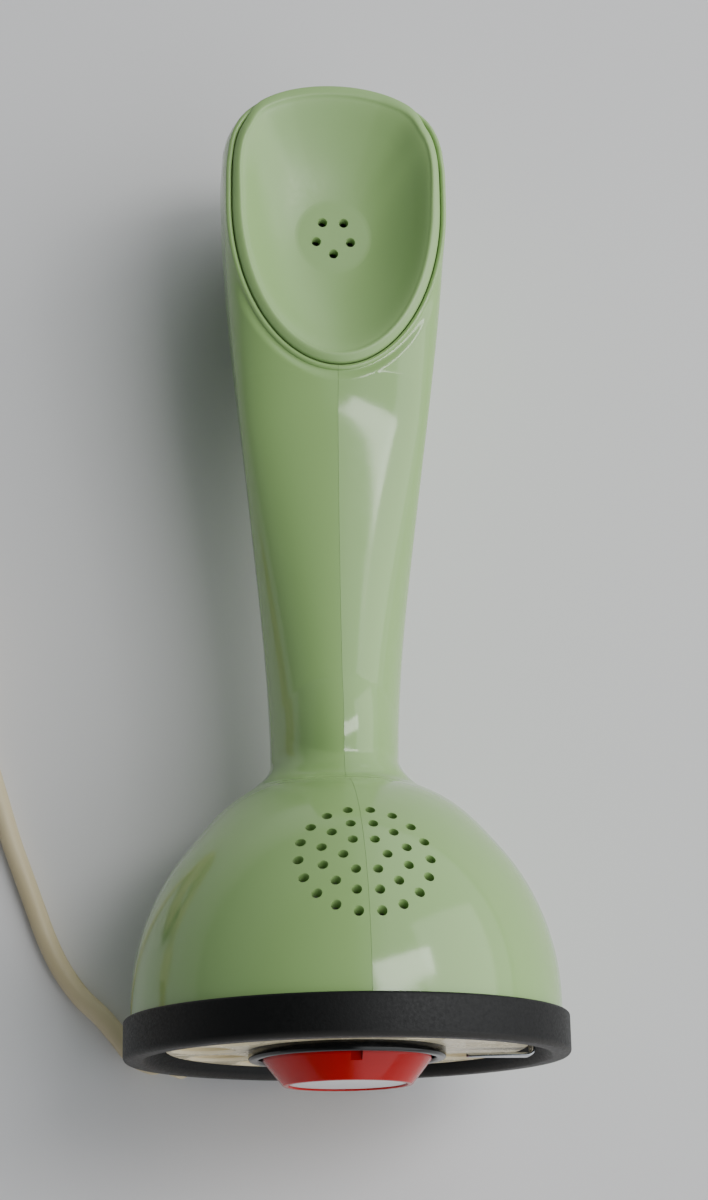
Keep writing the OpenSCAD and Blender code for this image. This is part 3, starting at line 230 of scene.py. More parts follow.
SIDE_H, NOSE_H = bell_height(42), bell_height(77)
SIDE = [(SIDE_H, bell(SIDE_H), bell_slope(42)),
    ((SIDE_H + WAIST_H) / 2, (bell(SIDE_H) + NECK_W / 2) / 2 + 0.2, -1.12),
    (WAIST_H, NECK_W / 2, 0.014), (WAIST_H + 60, NECK_W / 2 + 5.2, 0.115), (HEAD_H, HEAD_W / 2, 0.01)]
FRONT = [(NOSE_H, bell(NOSE_H), bell_slope(77)), (WAIST_H - 4, NECK_FRONT + 1.6, -0.3),
    (WAIST_H + 1, NECK_FRONT + 0.7, -0.06), (WAIST_H + 22, NECK_FRONT - 0.4, -0.05),
    (WAIST_H + 45, NECK_FRONT - 0.8, 0), (LIP_TIP - 10, NECK_FRONT + 1.1, 0.12), (LIP_TIP, LIP_FRONT, 0.35)]
BACK = [(BELL_H0, BELL_R, 0), (BELL_H0 + 18, BELL_R - 1.4, -0.12), (WAIST_H - 10, BELL_R - 9.8, -0.36),
    (WAIST_H + 20, NECK_BACK + 2.2, -0.2), (WAIST_H + 45, NECK_BACK, 0),
    (WAIST_H + 95, (NECK_BACK + FOOT_R) / 2, 0.38), (HEAD_H, FOOT_R, 0)]
MIDDLE = [(SIDE_H, 0, 0), (WAIST_H, 16.5, 0), (HEAD_H, -3, 0)]
POWER = [(SIDE_H, 2, 0), (WAIST_H + 10, 2.25, 0), (HEAD_H, 2.35, 0)]


def cap_front(h):
    return LIP_FRONT + (h - LIP_TIP) * math.tan(CAP_TILT)


def section(h):
    """Half width, middle, back, front, power and lip half width of the case at a height."""
    crown = min(1.0, max(0.0, h - HEAD_H) / (BODY_H - HEAD_H))
    side = (HEAD_W / 2 * math.sqrt(1 - crown ** CROWN_POWER) if h > HEAD_H
        else knotted(SIDE, h) if h > SIDE_H else bell(h))
    middle = -knotted(MIDDLE, min(h, HEAD_H)) if h > SIDE_H else 0.0
    back = (-RIDGE - (FOOT_R - RIDGE) * (1 - crown ** BACK_POWER) ** (1 / BACK_POWER) if h > HEAD_H
        else -knotted(BACK, h) if h > BELL_H0 else -BELL_R)
    front = cap_front(h) if h > LIP_TIP else knotted(FRONT, h) if h > NOSE_H else bell(h)
    power = knotted(POWER, min(h, HEAD_H)) if h > SIDE_H else 2.0
    lip = (0.0 if h <= LIP_TIP
        else LIP_W / 2 * math.sqrt(max(0.0, 1 - ((LIP_C - h) / LIP_DOWN) ** 2)) if h < LIP_C
        else LIP_W / 2 * math.sqrt(max(0.0, 1 - ((h - LIP_C) / LIP_UP) ** LIP_POWER)))
    return side, middle, back, front, power, lip


def smooth(x):
    x = np.clip(x, 0, 1)
    return x * x * (3 - 2 * x)


def stand(x, f, h):
    """Points right of the axis, ahead of it and up the telephone, in metres of the frame."""
    return on_table(x, h, FOOT_R + f)


def face_outward(mesh):
    """Doubles merged and every face turned outwards."""
    shape = bmesh.new()
    shape.from_mesh(mesh)
    bmesh.ops.remove_doubles(shape, verts=shape.verts, dist=1e-6)
    bmesh.ops.dissolve_degenerate(shape, edges=shape.edges, dist=1e-7)
    bmesh.ops.recalc_face_normals(shape, faces=shape.faces)
    shape.to_mesh(mesh)
    shape.free()


def piece(name, points, faces, material):
    """A mesh piece in place, with its finish."""
    mesh = bpy.data.meshes.new(name)
    mesh.from_pydata([tuple(p) for p in points], [], faces)
    mesh.materials.append(material)
    face_outward(mesh)
    return put(name, mesh)


def settle(made, body, replaces=(), sharp=35):
    """Smooth shading up to a sharp angle, then the piece hung on its body and the CAD nodes it replaces
    hidden.
    """
    mesh = made.data
    face_outward(mesh)
    mesh.polygons.foreach_set("use_smooth", [True] * len(mesh.polygons))
    mesh.set_sharp_from_angle(angle=math.radians(sharp))
    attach(made, body)
    if replaces:
        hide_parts(*replaces)
    return made


def rings_to_faces(rings, count, closed=False):
    """Quads between neighbouring rings of a stack, each ring closed on itself."""
    return [(i * count + j, i * count + (j + 1) % count, (i + 1) % rings * count + (j + 1) % count,
        (i + 1) % rings * count + j) for i in range(rings if closed else rings - 1) for j in range(count)]


def stack_faces(rings, count):
    """The faces of a stack with both ends closed."""
    return rings_to_faces(rings, count) + [tuple(range(count)),
        tuple(range((rings - 1) * count, rings * count))]


def tree_inputs(name, kinds):
    """A Geometry Nodes tree with named inputs, and the identifier of each input."""
    tree = bpy.data.node_groups.new(name, "GeometryNodeTree")
    sockets = {label: tree.interface.new_socket(label, in_out="INPUT",
        socket_type="NodeSocket" + kind).identifier
        for label, kind in kinds.items()}
    tree.interface.new_socket("Geometry", in_out="OUTPUT", socket_type="NodeSocketGeometry")
    return tree, sockets, add(tree, "NodeGroupInput", {}).outputs


# The perforation tree finds each hole's place on the surface by a ray from outside, and cuts it
# there with a drill that flares a little above the edge.
hole_tree, hole_sockets, given = tree_inputs("perforations", {
    "Geometry": "Geometry", "Hole Diameter": "Float", "Edge": "Float", "Flare": "Float", "Depth": "Float",
    "Circle Radius": "Float", "Places": "Int", "Holes": "Int", "First Angle": "Float", "Centre": "Vector",
    "Facing": "Vector", "Finish": "Material"})
RAY_AWAY, DRILL_RISE = 0.03, 0.0008
facing = add(hole_tree, "FunctionNodeEulerToRotation", {"Euler": given["Facing"]}).outputs[0]
circle = add(hole_tree, "GeometryNodeMeshCircle", {"Vertices": given["Places"],
    "Radius": given["Circle Radius"]})
spare = add(hole_tree, "FunctionNodeCompare", {2: add(hole_tree, "GeometryNodeInputIndex", {}).outputs[0],
    3: given["Holes"]}, data_type="INT", operation="GREATER_EQUAL")
used = add(hole_tree, "GeometryNodeDeleteGeometry", {"Geometry": circle.outputs[0],
    "Selection": spare.outputs[0]})
first = add(hole_tree, "ShaderNodeCombineXYZ", {"Z": given["First Angle"]})
turned_round = add(hole_tree, "GeometryNodeTransform", {"Geometry": used.outputs[0],
    "Rotation": first.outputs[0]})
set_out = add(hole_tree, "GeometryNodeTransform", {"Geometry": turned_round.outputs[0],
    "Translation": given["Centre"], "Rotation": given["Facing"]})
inward = add(hole_tree, "FunctionNodeRotateVector", {"Vector": (0, 0, -1), "Rotation": facing}).outputs[0]
ray_start = add(hole_tree, "ShaderNodeVectorMath", {0: inward, 1: (-RAY_AWAY,) * 3,
    2: add(hole_tree, "GeometryNodeInputPosition", {}).outputs[0]}, operation="MULTIPLY_ADD")
flat = add(hole_tree, "GeometryNodeTriangulate", {"Mesh": given["Geometry"]}).outputs[0]
ray = add(hole_tree, "GeometryNodeRaycast", {"Target Geometry": flat,
    "Source Position": ray_start.outputs[0], "Ray Direction": inward, "Ray Length": 2 * RAY_AWAY})
missed = add(hole_tree, "FunctionNodeBooleanMath", {0: ray.outputs["Is Hit"]}, operation="NOT")
on_it = add(hole_tree, "GeometryNodeDeleteGeometry", {"Geometry": set_out.outputs[0],
    "Selection": missed.outputs[0]})
seated = add(hole_tree, "GeometryNodeSetPosition", {"Geometry": on_it.outputs[0],
    "Position": ray.outputs["Hit Position"]})
radius = reckon(hole_tree, "MULTIPLY", given["Hole Diameter"], 0.5)
drill = add(hole_tree, "GeometryNodeMeshCylinder", {"Vertices": 36, "Side Segments": 2, "Radius": radius,
    "Depth": 2.0})
along = add(hole_tree, "ShaderNodeSeparateXYZ",
    {0: add(hole_tree, "GeometryNodeInputPosition", {}).outputs[0]})
above = reckon(hole_tree, "MAXIMUM", along.outputs["Z"], 0.0)
below = reckon(hole_tree, "MINIMUM", along.outputs["Z"], 0.0)
risen = reckon(hole_tree, "MULTIPLY", above, reckon(hole_tree, "ADD", given["Edge"], DRILL_RISE))
sunk = reckon(hole_tree, "MULTIPLY_ADD", below, given["Depth"], risen)
level = reckon(hole_tree, "SUBTRACT", sunk, given["Edge"])
wider = reckon(hole_tree, "MULTIPLY", risen, given["Flare"])
growth = reckon(hole_tree, "ADD", reckon(hole_tree, "DIVIDE", wider, radius), 1.0)
wide_x = reckon(hole_tree, "MULTIPLY", along.outputs["X"], growth)
wide_y = reckon(hole_tree, "MULTIPLY", along.outputs["Y"], growth)
drawn = add(hole_tree, "ShaderNodeCombineXYZ", {"X": wide_x, "Y": wide_y, "Z": level})
flared = add(hole_tree, "GeometryNodeSetPosition", {"Geometry": drill.outputs["Mesh"],
    "Position": drawn.outputs[0]})
drills = add(hole_tree, "GeometryNodeInstanceOnPoints", {"Points": seated.outputs[0],
    "Instance": flared.outputs[0], "Rotation": facing})
solid = add(hole_tree, "GeometryNodeRealizeInstances", {"Geometry": drills.outputs[0]})
cut = add(hole_tree, "GeometryNodeMeshBoolean", {"Mesh 1": flat, "Mesh 2": solid.outputs[0]},
    operation="DIFFERENCE", solver="MANIFOLD")
dressed = add(hole_tree, "GeometryNodeSetMaterial", {"Geometry": cut.outputs[0],
    "Material": given["Finish"]})
add(hole_tree, "NodeGroupOutput", {0: dressed.outputs[0]})


def grow(made, tree, sockets, **sizes):
    """A modifier that runs a tree on a piece, with its inputs set."""
    modifier = made.modifiers.new(tree.name, "NODES")
    modifier.node_group = tree
    for label, value in sizes.items():
        modifier[sockets[label.replace("_", " ").title()]] = value
    modifier[sockets["Finish"]] = made.data.materials[0]


def plain(made):
    """The evaluated result as a plain mesh, with no modifier left."""
    mesh = bpy.data.meshes.new_from_object(made.evaluated_get(bpy.context.evaluated_depsgraph_get()))
    made.modifiers.clear()
    made.data = mesh
    return made


# Moulded ABS: an even pastel green with a high gloss, a faint orange peel, and a few specks of dust.
case_abs, tree, shader, where, tone = aged("moulded_abs_pale_green", "#93B572", "#8CAE6A", 70, 2.4,
    (0.08, 0.14), 0.03, ior=1.53)
dust = add(tree, "ShaderNodeTexNoise", {"Vector": where, "Scale": per_m(1.1),
    "Detail": 5.0, "Roughness": 0.7})
specks = add(tree, "ShaderNodeMapRange", {"Value": dust.outputs["Fac"], "From Min": 0.73, "From Max": 0.79})
dusty = blend(tree, specks.outputs["Result"], tone, srgb("#84986A"))
tree.links.new(dusty, shader.inputs["Base Color"])

case_rows = np.array([FOOT_SEAT, 9.5, *[bell_height(a) for a in np.arange(0, 77, 2.5)],
    *np.linspace(NOSE_H, WAIST_H - 5, 17), *np.linspace(WAIST_H - 5, WAIST_H + 16, 43)[1:],
    *np.linspace(WAIST_H + 16, LIP_TIP - 6, 41)[1:], *np.linspace(LIP_TIP - 6, LIP_TIP, 13)[1:],
    *[LIP_C - LIP_DOWN * math.cos(math.radians(a)) for a in np.arange(2, 91, 2)],
    *np.linspace(LIP_C, HEAD_H, 8)[1:],
    *[HEAD_H + (BODY_H - HEAD_H) * math.sqrt(math.sin(math.radians(a)))
        for a in (4, 8, 12, 16, 20, 25, 30, 35, 40, 45, 50, 55, 60, 64, 68, 71,
            74, 77, 80, 82, 84, 86, 88, 89.4)],
    BODY_H])
BACK_COLUMNS, FRONT_COLUMNS, EDGE_COLUMNS = 36, 44, 7
SEAM_GAP, SEAM_ROUND, SEAM_SINK = 0.02, 0.05, 0.025
GABLE = math.tan(math.radians(2.0))
GABLE_FROM, GABLE_FULL, GABLE_FADE, GABLE_END = 64, 72, 146, 158
LIP_ROUND, LIP_FOOT, LAP_DROP, LAP_FROM, LAP_RUN = LIP_T / 2, 2.4, 0.9, 0.46, 0.3
outward = np.array([0.0, math.cos(CAP_TILT), -math.sin(CAP_TILT)])

# One half's outer face: rows from the foot seat to the crown, columns from the seam at the back to
# the seam at the front, or to the lip
columns = BACK_COLUMNS + FRONT_COLUMNS
outer = np.zeros((len(case_rows), columns, 3))
lean = np.zeros((len(case_rows), columns))
to_lip = np.zeros((len(case_rows), columns))
for i, h in enumerate(case_rows):
    side, middle, back, front, power, lip = section(h)
    e = 2 / power
    side = max(side, 0.02)
    share = min(0.995, lip / side)
    if h >= BODY_H - 1e-6:
        share = LIP_W / HEAD_W * math.sqrt(LIP_POWER * (BODY_H - HEAD_H) / (CROWN_POWER * LIP_UP))
    end = math.acos(share ** (1 / e))
    near = math.acos(min(0.5, SEAM_ROUND / side) ** (1 / e))
    a = np.concatenate([[-math.pi / 2], np.linspace(-near, 0, BACK_COLUMNS - 1)])
    b = np.linspace(0, end, FRONT_COLUMNS + 1)[1:]
    if h <= LIP_TIP:
        b = np.concatenate([np.linspace(0, near, FRONT_COLUMNS)[1:], [math.pi / 2]])
    a = np.concatenate([a, b])
    c, s = np.clip(np.cos(a), 0, 1) ** e, np.abs(np.sin(a)) ** e
    reach = np.where(a < 0, back - middle, (front - middle) / math.sin(end) ** e)
    outer[i] = np.stack([side * c, middle + reach * s, np.full_like(a, h)], -1)
    lean[i] = np.where(a > 0, np.sin(a) ** 2, 0)
    to_lip[i] = np.clip(a / end, 0, 1)

# The neck's front is a low gable: each half falls away a little from the seam
on_neck = (smooth((case_rows - GABLE_FROM) / (GABLE_FULL - GABLE_FROM))
    * (1 - smooth((case_rows - GABLE_FADE) / (GABLE_END - GABLE_FADE))))
outer[:, :, 1] -= GABLE * outer[:, :, 0] * lean * on_neck[:, None]

# A low oval swelling where the neck meets the bell
SWELL_UP, SWELL_H, SWELL_W, SWELL_L = 1.4, 77.5, 13.6, 9.3
swelling = 1 - (outer[..., 0] / SWELL_W) ** 2 - ((outer[..., 2] - SWELL_H) / SWELL_L) ** 2
outer[:, :, 1] += SWELL_UP * np.where(lean > 0, np.clip(swelling, 0, 1), 0)
tip_row = int(np.argmin(np.abs(case_rows - LIP_TIP)))

# The inner face lies one wall in, square to the outer one, and the wall thins towards the lip
mirrored = np.array([-1, 1, 1])
wide = np.concatenate([outer[:, 1:2] * mirrored, outer, outer[:, -2:-1] * mirrored], 1)
wide[tip_row + 1:, -1] = 2 * outer[tip_row + 1:, -1] - outer[tip_row + 1:, -2]
tall = np.concatenate([outer[:1] - [0, 0, 2], outer, outer[-2:-1] * mirrored], 0)
case_normal = np.cross(wide[:, 2:] - wide[:, :-2], tall[2:] - tall[:-2])
case_normal /= np.maximum(np.linalg.norm(case_normal, axis=-1, keepdims=True), 1e-12)
case_normal *= np.sign(case_normal[len(case_rows) // 2, columns // 2, 0])
case_normal[-1] = [0, 0, 1]
wall = np.full(lean.shape, WALL)
wall[tip_row:] -= (WALL - LIP_T) * to_lip[tip_row:] ** 2
inner = outer - wall[..., None] * case_normal

# The lip's own outline, and the direction in the cap's plane that points in from it
lip_line = outer[tip_row:, -1]
along_lip = np.gradient(lip_line, axis=0)
along_lip[0], along_lip[-1] = [1, 0, 0], [-1, 0, 0]
lip_in = np.cross(outward, along_lip)
lip_in /= np.linalg.norm(lip_in, axis=-1, keepdims=True)
lip_in *= np.sign(np.sum(lip_in * ([0, cap_front(LIP_C), LIP_C] - lip_line), -1))[:, None]


def lapped(v):
    """Where the ear cap laps over the lip: nowhere, or fully across the top of the head."""
    return smooth((np.clip(v / LIP_UP, 0, 1) ** 2 - LAP_FROM) / LAP_RUN)


# The wall drops a little all round the lip, which then stands up as a half round
x, v = outer[..., 0], outer[..., 2] - LIP_C
square_x, fourth_v = (x / (LIP_W / 2)) ** 2, (np.maximum(v, 0) / LIP_UP) ** LIP_POWER
oval = np.where(v < 0, np.sqrt(square_x + (v / LIP_DOWN) ** 2),
    np.sqrt((square_x + np.sqrt(square_x ** 2 + 4 * fourth_v)) / 2))
apart = np.maximum(0, np.hypot(x, v) * (1 - 1 / np.maximum(oval, 1)))
apart = np.where(lean > 0, apart, 99.0)
dropped = outer - ((LIP_ROUND + LAP_DROP * lapped(v)) * (1 - smooth(apart / LIP_FOOT)))[..., None] * outward
dropped[:, 0] -= SEAM_SINK * case_normal[:, 0]
dropped[:tip_row, -1] -= SEAM_SINK * case_normal[:tip_row, -1]
turn = np.linspace(0, math.pi, EDGE_COLUMNS + 2)[1:-1]
edge = np.zeros((len(case_rows), EDGE_COLUMNS, 3))
share = np.linspace(0, 1, EDGE_COLUMNS + 2)[1:-1][None, :, None]
lip_line = lip_line - (LAP_DROP * lapped(lip_line[:, 2] - LIP_C))[:, None] * outward
inner[tip_row:, -1] = lip_line + LIP_T * lip_in - LIP_ROUND * outward
edge[:tip_row] = dropped[:tip_row, -1:] * (1 - share) + inner[:tip_row, -1:] * share
edge[tip_row:] = ((lip_line + LIP_ROUND * (lip_in - outward))[:, None]
    + LIP_ROUND * (np.sin(turn)[None, :, None] * outward - np.cos(turn)[None, :, None] * lip_in[:, None]))
loops = np.concatenate([dropped, edge, inner[:, ::-1]], 1)
loops[..., 0] = np.maximum(loops[..., 0], SEAM_GAP)
rows, count = loops.shape[:2]
case_faces = rings_to_faces(rows, count)
for i in (0, rows - 1):
    case_faces += [(i * count + j, i * count + j + 1, i * count + count - 2 - j, i * count + count - 1 - j)
        for j in range(count // 2 - 1)]
    case_faces.append((i * count + count // 2 - 1, i * count + count // 2, i * count + count // 2 + 1))

# The grille: three rings of holes square to a plane that leans back on the bell
GRILLE_TILT, GRILLE_STEP, GRILLE_HOLE = math.radians(30), 4.65, 2.1
GRILLE_TURNS = (0.3, 15.0, 0.7)
mouth_turn = math.atan(BELL_B / BELL_R * math.tan(GRILLE_TILT))
mouth = stand(0.0, BELL_R * math.cos(mouth_turn), bell_height(math.degrees(mouth_turn)))
for half, sign in (("left", -1), ("right", 1)):
    points = stand(sign * loops[..., 0], loops[..., 1], loops[..., 2]).reshape(-1, 3)
    shell = piece("case_half_" + half, points, case_faces, case_abs)
    for ring in (1, 2, 3):
        grow(shell, hole_tree, hole_sockets, hole_diameter=GRILLE_HOLE * MM, edge=0.1 * MM, flare=0.35,
            depth=12 * MM, circle_radius=ring * GRILLE_STEP * MM, places=6 * ring, holes=6 * ring,
            first_angle=math.radians(GRILLE_TURNS[ring - 1]), centre=mouth,
            facing=(-GRILLE_TILT, 0.0, 0.0))
        face_outward(plain(shell).data)
    settle(shell, "case", ["shell_" + half])

# Ear cap: a third green moulding that drops into the lip and laps over it at the top. It is dished
# for the ear, rolls over along the sides, and has a flat disc with five sound holes in the hollow.
CAP_GAP, CAP_T, DISH_DEPTH, ROLL_H, ROLL_W, DISC_R, DISC_V = 0.16, 2.2, 8.5, 1.5, 2.7, 9.25, -5.0
DISH_CREASE = 0.3
SOUND_D, SOUND_CIRCLE, SOUND_HOLES, SOUND_TURN = 2.2, 4.4, 5, math.radians(-89.6)
# The same ABS, dulled to a satin by use, so the hollow shows no sharp reflection.
cap_abs = aged("moulded_abs_satin_green", "#95B675", "#8EAF6D", 60, 1.6, (0.3, 0.42), 0.03, ior=1.53)[0]
CAP_SIDES = 240
LAP_INSET = 0.2
ROLL_END, ROLL_FADE, ROLL_EDGE, CAP_EDGE, CAP_FOOT = 0.9, 0.5, 0.3, 0.7, 2.4
cap_inset = LIP_T + CAP_GAP
cap_turn = np.linspace(0, 2 * math.pi, CAP_SIDES, endpoint=False)
up, down = LIP_UP / math.cos(CAP_TILT), LIP_DOWN / math.cos(CAP_TILT)
c, s = np.cos(cap_turn), np.sin(cap_turn)
square_c, fourth_s = (c / (LIP_W / 2)) ** 2, (np.maximum(s, 0) / up) ** LIP_POWER
lip_reach = np.where(s < 0, 1 / np.sqrt(square_c + (s / down) ** 2),
    np.sqrt(2 / (square_c + np.sqrt(square_c ** 2 + 4 * fourth_s))))
lip_outline = lip_reach[:, None] * np.stack([c, s], -1)
square_to = np.stack([2 * lip_outline[:, 0] / (LIP_W / 2) ** 2,
    np.where(s < 0, 2 * lip_outline[:, 1] / down ** 2,
        LIP_POWER * lip_outline[:, 1] ** (LIP_POWER - 1) / up ** LIP_POWER)], -1)
square_to /= np.linalg.norm(square_to, axis=1, keepdims=True)
cap_high = np.clip(lip_outline[:, 1] / up, 0, 1) ** 2
cap_seat = lip_outline - cap_inset * square_to
cap_outline = lip_outline - (cap_inset
    - (cap_inset - LAP_INSET) * lapped(lip_outline[:, 1]))[:, None] * square_to
cap_disc = np.stack([DISC_R * c, DISC_V + DISC_R * s], -1)
roll = ROLL_H * np.clip((ROLL_END - cap_high) / ROLL_FADE, 0, 1)
roll_at = 1 - ROLL_W / np.linalg.norm(cap_outline - cap_disc, axis=1)


def dish(u, top):
    return (DISH_DEPTH + top) * (DISH_CREASE * u + (1 - DISH_CREASE) * u * u) - DISH_DEPTH


def cap_ring(flat, w):
    return np.concatenate([flat, np.broadcast_to(np.asarray(w, float), (CAP_SIDES,))[:, None]], 1)


DISH_RINGS, ROLL_RINGS, SOFTENED = 46, 20, 26
cap_rings = [cap_ring([0, DISC_V] + (cap_disc - [0, DISC_V]) * k, -DISH_DEPTH)
    for k in (0.15, 0.4, 0.7, 0.9)]
slope = [cap_ring(cap_disc + (cap_outline - cap_disc) * (u * roll_at)[:, None], dish(u, roll))
    for u in np.linspace(0, 1, DISH_RINGS)]
for u in np.linspace(0, 1, ROLL_RINGS)[1:]:
    slope.append(cap_ring(cap_disc + (cap_outline - cap_disc) * (roll_at + (1 - roll_at) * u)[:, None],
        (roll + ROLL_EDGE) * math.sqrt(1 - u * u) - ROLL_EDGE))
slope = np.array(slope)
# The crease between the hollow and the roll is softened
for softening in range(SOFTENED):
    slope[DISH_RINGS - 12:-3, :, 2] += (slope[DISH_RINGS - 13:-4, :, 2] + slope[DISH_RINGS - 11:-2, :, 2]
        - 2 * slope[DISH_RINGS - 12:-3, :, 2]) / 4
cap_rings += list(slope) + [cap_ring(cap_outline, -CAP_EDGE), cap_ring(cap_seat, -CAP_EDGE - 0.05)]
cap_rings.append(cap_ring(cap_disc + (cap_seat - cap_disc) * 0.93, -CAP_FOOT))
cap_rings += [cap_ring(cap_disc + (cap_seat - cap_disc) * u * 0.86, dish(u, 0.0) - CAP_T)
    for u in (1.0, 0.8, 0.5, 0.25, 0.0)]
cap_rings.append(cap_ring([0, DISC_V] + (cap_disc - [0, DISC_V]) * 0.2, -DISH_DEPTH - CAP_T))


def behind_ear(x, v, w):
    """Points of the cap's own plane: across, up the cap and out of the hollow."""
    return stand(x, cap_front(LIP_C) + v * math.sin(CAP_TILT) + w * math.cos(CAP_TILT),
        LIP_C + v * math.cos(CAP_TILT) - w * math.sin(CAP_TILT))


ear_piece = piece("ear_dish", behind_ear(*np.concatenate(cap_rings).T),
    stack_faces(len(cap_rings), CAP_SIDES), cap_abs)
grow(ear_piece, hole_tree, hole_sockets, hole_diameter=SOUND_D * MM, edge=0.12 * MM, flare=0.6, depth=7 * MM,
    circle_radius=SOUND_CIRCLE * MM, places=SOUND_HOLES, holes=SOUND_HOLES, first_angle=SOUND_TURN,
    centre=behind_ear(0.0, DISC_V, -DISH_DEPTH), facing=(-CAP_TILT, 0.0, 0.0))
settle(plain(ear_piece), "case", ["ear_cap"])

# Receiver: an aluminium capsule against the hollow's back, held by a zinc plated clip on two posts.
# Its two conductors run down the neck in a thin sleeve.


def dress(material, *nodes):
    """CAD nodes whose shape is right keep it, and take a finish of their own."""
    for name in nodes:
        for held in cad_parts[name].material_slots:
            held.material = material


# Spun aluminium: grey and even, half matt. Zinc plate: bluish grey, clouded. Bright steel: clean and
# hard, with polishing marks. Thin PVC: flat brick red.
capsule_metal = aged("spun_aluminium", "#C8C7C2", "#B5B4AF", 9, 0.8, (0.32, 0.45), 0.06, 1.0)[0]
zinc_steel = aged("zinc_plated_steel", "#B4B7B6", "#9A9D9B", 5, 1.2, (0.3, 0.48), 0.05, 1.0)[0]
bright_steel = aged("bright_steel", "#CBCDCF", "#B6B8BB", 6, 0.6, (0.16, 0.3), 0.04, 1.0)[0]
lead_pvc = aged("thin_pvc_sleeve", "#93473C", "#7E382F", 12, 1.5, (0.4, 0.55), 0.1)[0]
dress(capsule_metal, "receiver_capsule")
dress(zinc_steel, "receiver_clip")
dress(bright_steel, "receiver_screws")
dress(lead_pvc, "receiver_lead", "transmitter_lead", "line_lead")

# Transmitter: a carbon capsule behind the grille, on a rubber ring in a cup of pressed phenolic
# board that stands on the chassis.


def bands(tree, where, apart, direction, distortion=0.0):
    """Soft bands that lie so many millimetres apart."""
    return add(tree, "ShaderNodeTexWave", {"Vector": where, "Scale": per_m(apart) * math.pi / 10,
        "Distortion": distortion}, bands_direction=direction).outputs["Fac"]


# Phenolic board: dark brown and half matt, with the layers of its paper showing as fine streaks.
phenolic, tree, shader, where, tone = aged("pressed_phenolic_board", "#5E3E2B", "#472C1E", 7, 1.0,
    (0.42, 0.6), 0.12)
streaked = blend(tree, bands(tree, where, 0.8, "Z", 2.0), tone, srgb("#3C2518"))
tree.links.new(streaked, shader.inputs["Base Color"])
dress(capsule_metal, "transmitter_capsule")
dress(phenolic, "transmitter_holder")

# Foot ring: a thick moulded ring in black rubber, pressed over the rim of the bell. The telephone
# stands on it, so its face is scuffed grey, and it slopes in towards the dial.
FOOT_H, FOOT_BORE, FOOT_FACE, FOOT_SLOPE, AROUND = 9.0, 42.0, 4.2, 3.0, 216
FOOT_ROUND, FOOT_TOP_ROUND, FOOT_FIT = 1.2, 0.7, 0.15
dial_axis = (np.array([0.0, -Y_SHIFT * MM, FOOT_R * MM]), np.array([0.0, 1.0, 0.0]),
    np.array([1.0, 0.0, 0.0]))


def corner(cx, cy, r, a, b, n=6):
    """Points of a round corner about a middle, from one angle to another."""
    turns = np.radians(np.linspace(a, b, n + 1))
    return [(cx + r * math.cos(t), cy + r * math.sin(t)) for t in turns]


def lathe(name, outline, material, axis=dial_axis, around=AROUND):
    """A turned piece: a closed outline of radius and height, swept round an axis."""
    start, ahead, across = axis
    angle = np.linspace(0, 2 * math.pi, around, endpoint=False)[:, None]
    spokes = np.cos(angle) * across + np.sin(angle) * np.cross(ahead, across)
    points = [start + h * MM * ahead + r * MM * spokes for r, h in outline]
    return piece(name, np.concatenate(points), rings_to_faces(len(outline), around, closed=True), material)


# Black rubber: nearly black and matt, greyed by scuffs where it meets the table.
foot_rubber, tree, shader, where, tone = aged("black_rubber_scuffed", "#0D0D0C", "#090908", 14, 0.7,
    (0.42, 0.62), 0.2, specular=0.25)
face_up = add(tree, "ShaderNodeSeparateXYZ", {0: where})
worn = add(tree, "ShaderNodeMapRange", {"Value": face_up.outputs["Y"], "From Min": (0.2 - Y_SHIFT) * MM,
    "From Max": (1.3 - Y_SHIFT) * MM, "To Min": 0.85, "To Max": 0.0})
scuffed = blend(tree, worn.outputs["Result"], tone, srgb("#34322F"))
tree.links.new(scuffed, shader.inputs["Base Color"])
face_in = FOOT_R - FOOT_FACE
foot = lathe("foot_rubber_ring", [(FOOT_BORE, FOOT_SLOPE), (face_in - 0.3, 0.6), (face_in, 0.25),
    (face_in + 0.3, 0.05), (face_in + 0.6, 0.0),
    *corner(FOOT_R - FOOT_ROUND, FOOT_ROUND, FOOT_ROUND, -90, 0, 8),
    *corner(FOOT_R - FOOT_TOP_ROUND, FOOT_H - FOOT_TOP_ROUND, FOOT_TOP_ROUND, 0, 90),
    (BELL_R + FOOT_FIT, FOOT_H), (BELL_R + FOOT_FIT, FOOT_SEAT), (FOOT_BORE, FOOT_SEAT)], foot_rubber)
settle(foot, "case", ["foot_ring"], 50)
dress(foot_rubber, "receiver_gasket", "transmitter_gasket")

# Chassis: a plate punched from zinc plated steel that carries the works inside the foot ring. Four
# countersunk steel screws hold it in the bell.
dress(zinc_steel, "chassis_plate")
dress(bright_steel, "chassis_screws")

# Dial works: stamped brass frame, gears and contacts, turned steel shafts and a governor with two
# brass weights in a drum. A flat steel spring turns the dial back.
# Stamped brass: warm yellow, tarnished brown in clouds, with a satin surface.
brass = aged("stamped_brass", "#CFAE62", "#B18C45", 6, 0.9, (0.22, 0.4), 0.06, 1.0)[0]
dress(brass, "bearing_bush", "dial_frame", "frame_pillars", "top_bridge", "main_gear", "impulse_pinion",
    "speed_gear", "impulse_contacts", "governor_weights")
dress(bright_steel, "wheel_shaft", "return_spring", "impulse_shaft", "governor_rotor")
dress(zinc_steel, "governor_drum")
dress(phenolic, "impulse_cam", "contact_block")

# Number plate: a flat ring moulded in cream plastic. It stands still behind the finger wheel, with a
# printed digit behind each finger hole.
PLATE_H, PLATE_T, WHEEL_R, COLLAR_R = 5.6, 1.4, 40.0, 21.7
HOLE_CIRCLE, HOLE_D, FIRST_HOLE, HOLE_STEP, HOLES = 31.5, 13.0, 60, 30, 10
PLATE_IN, PLATE_ROUND = COLLAR_R + 0.7, 0.3
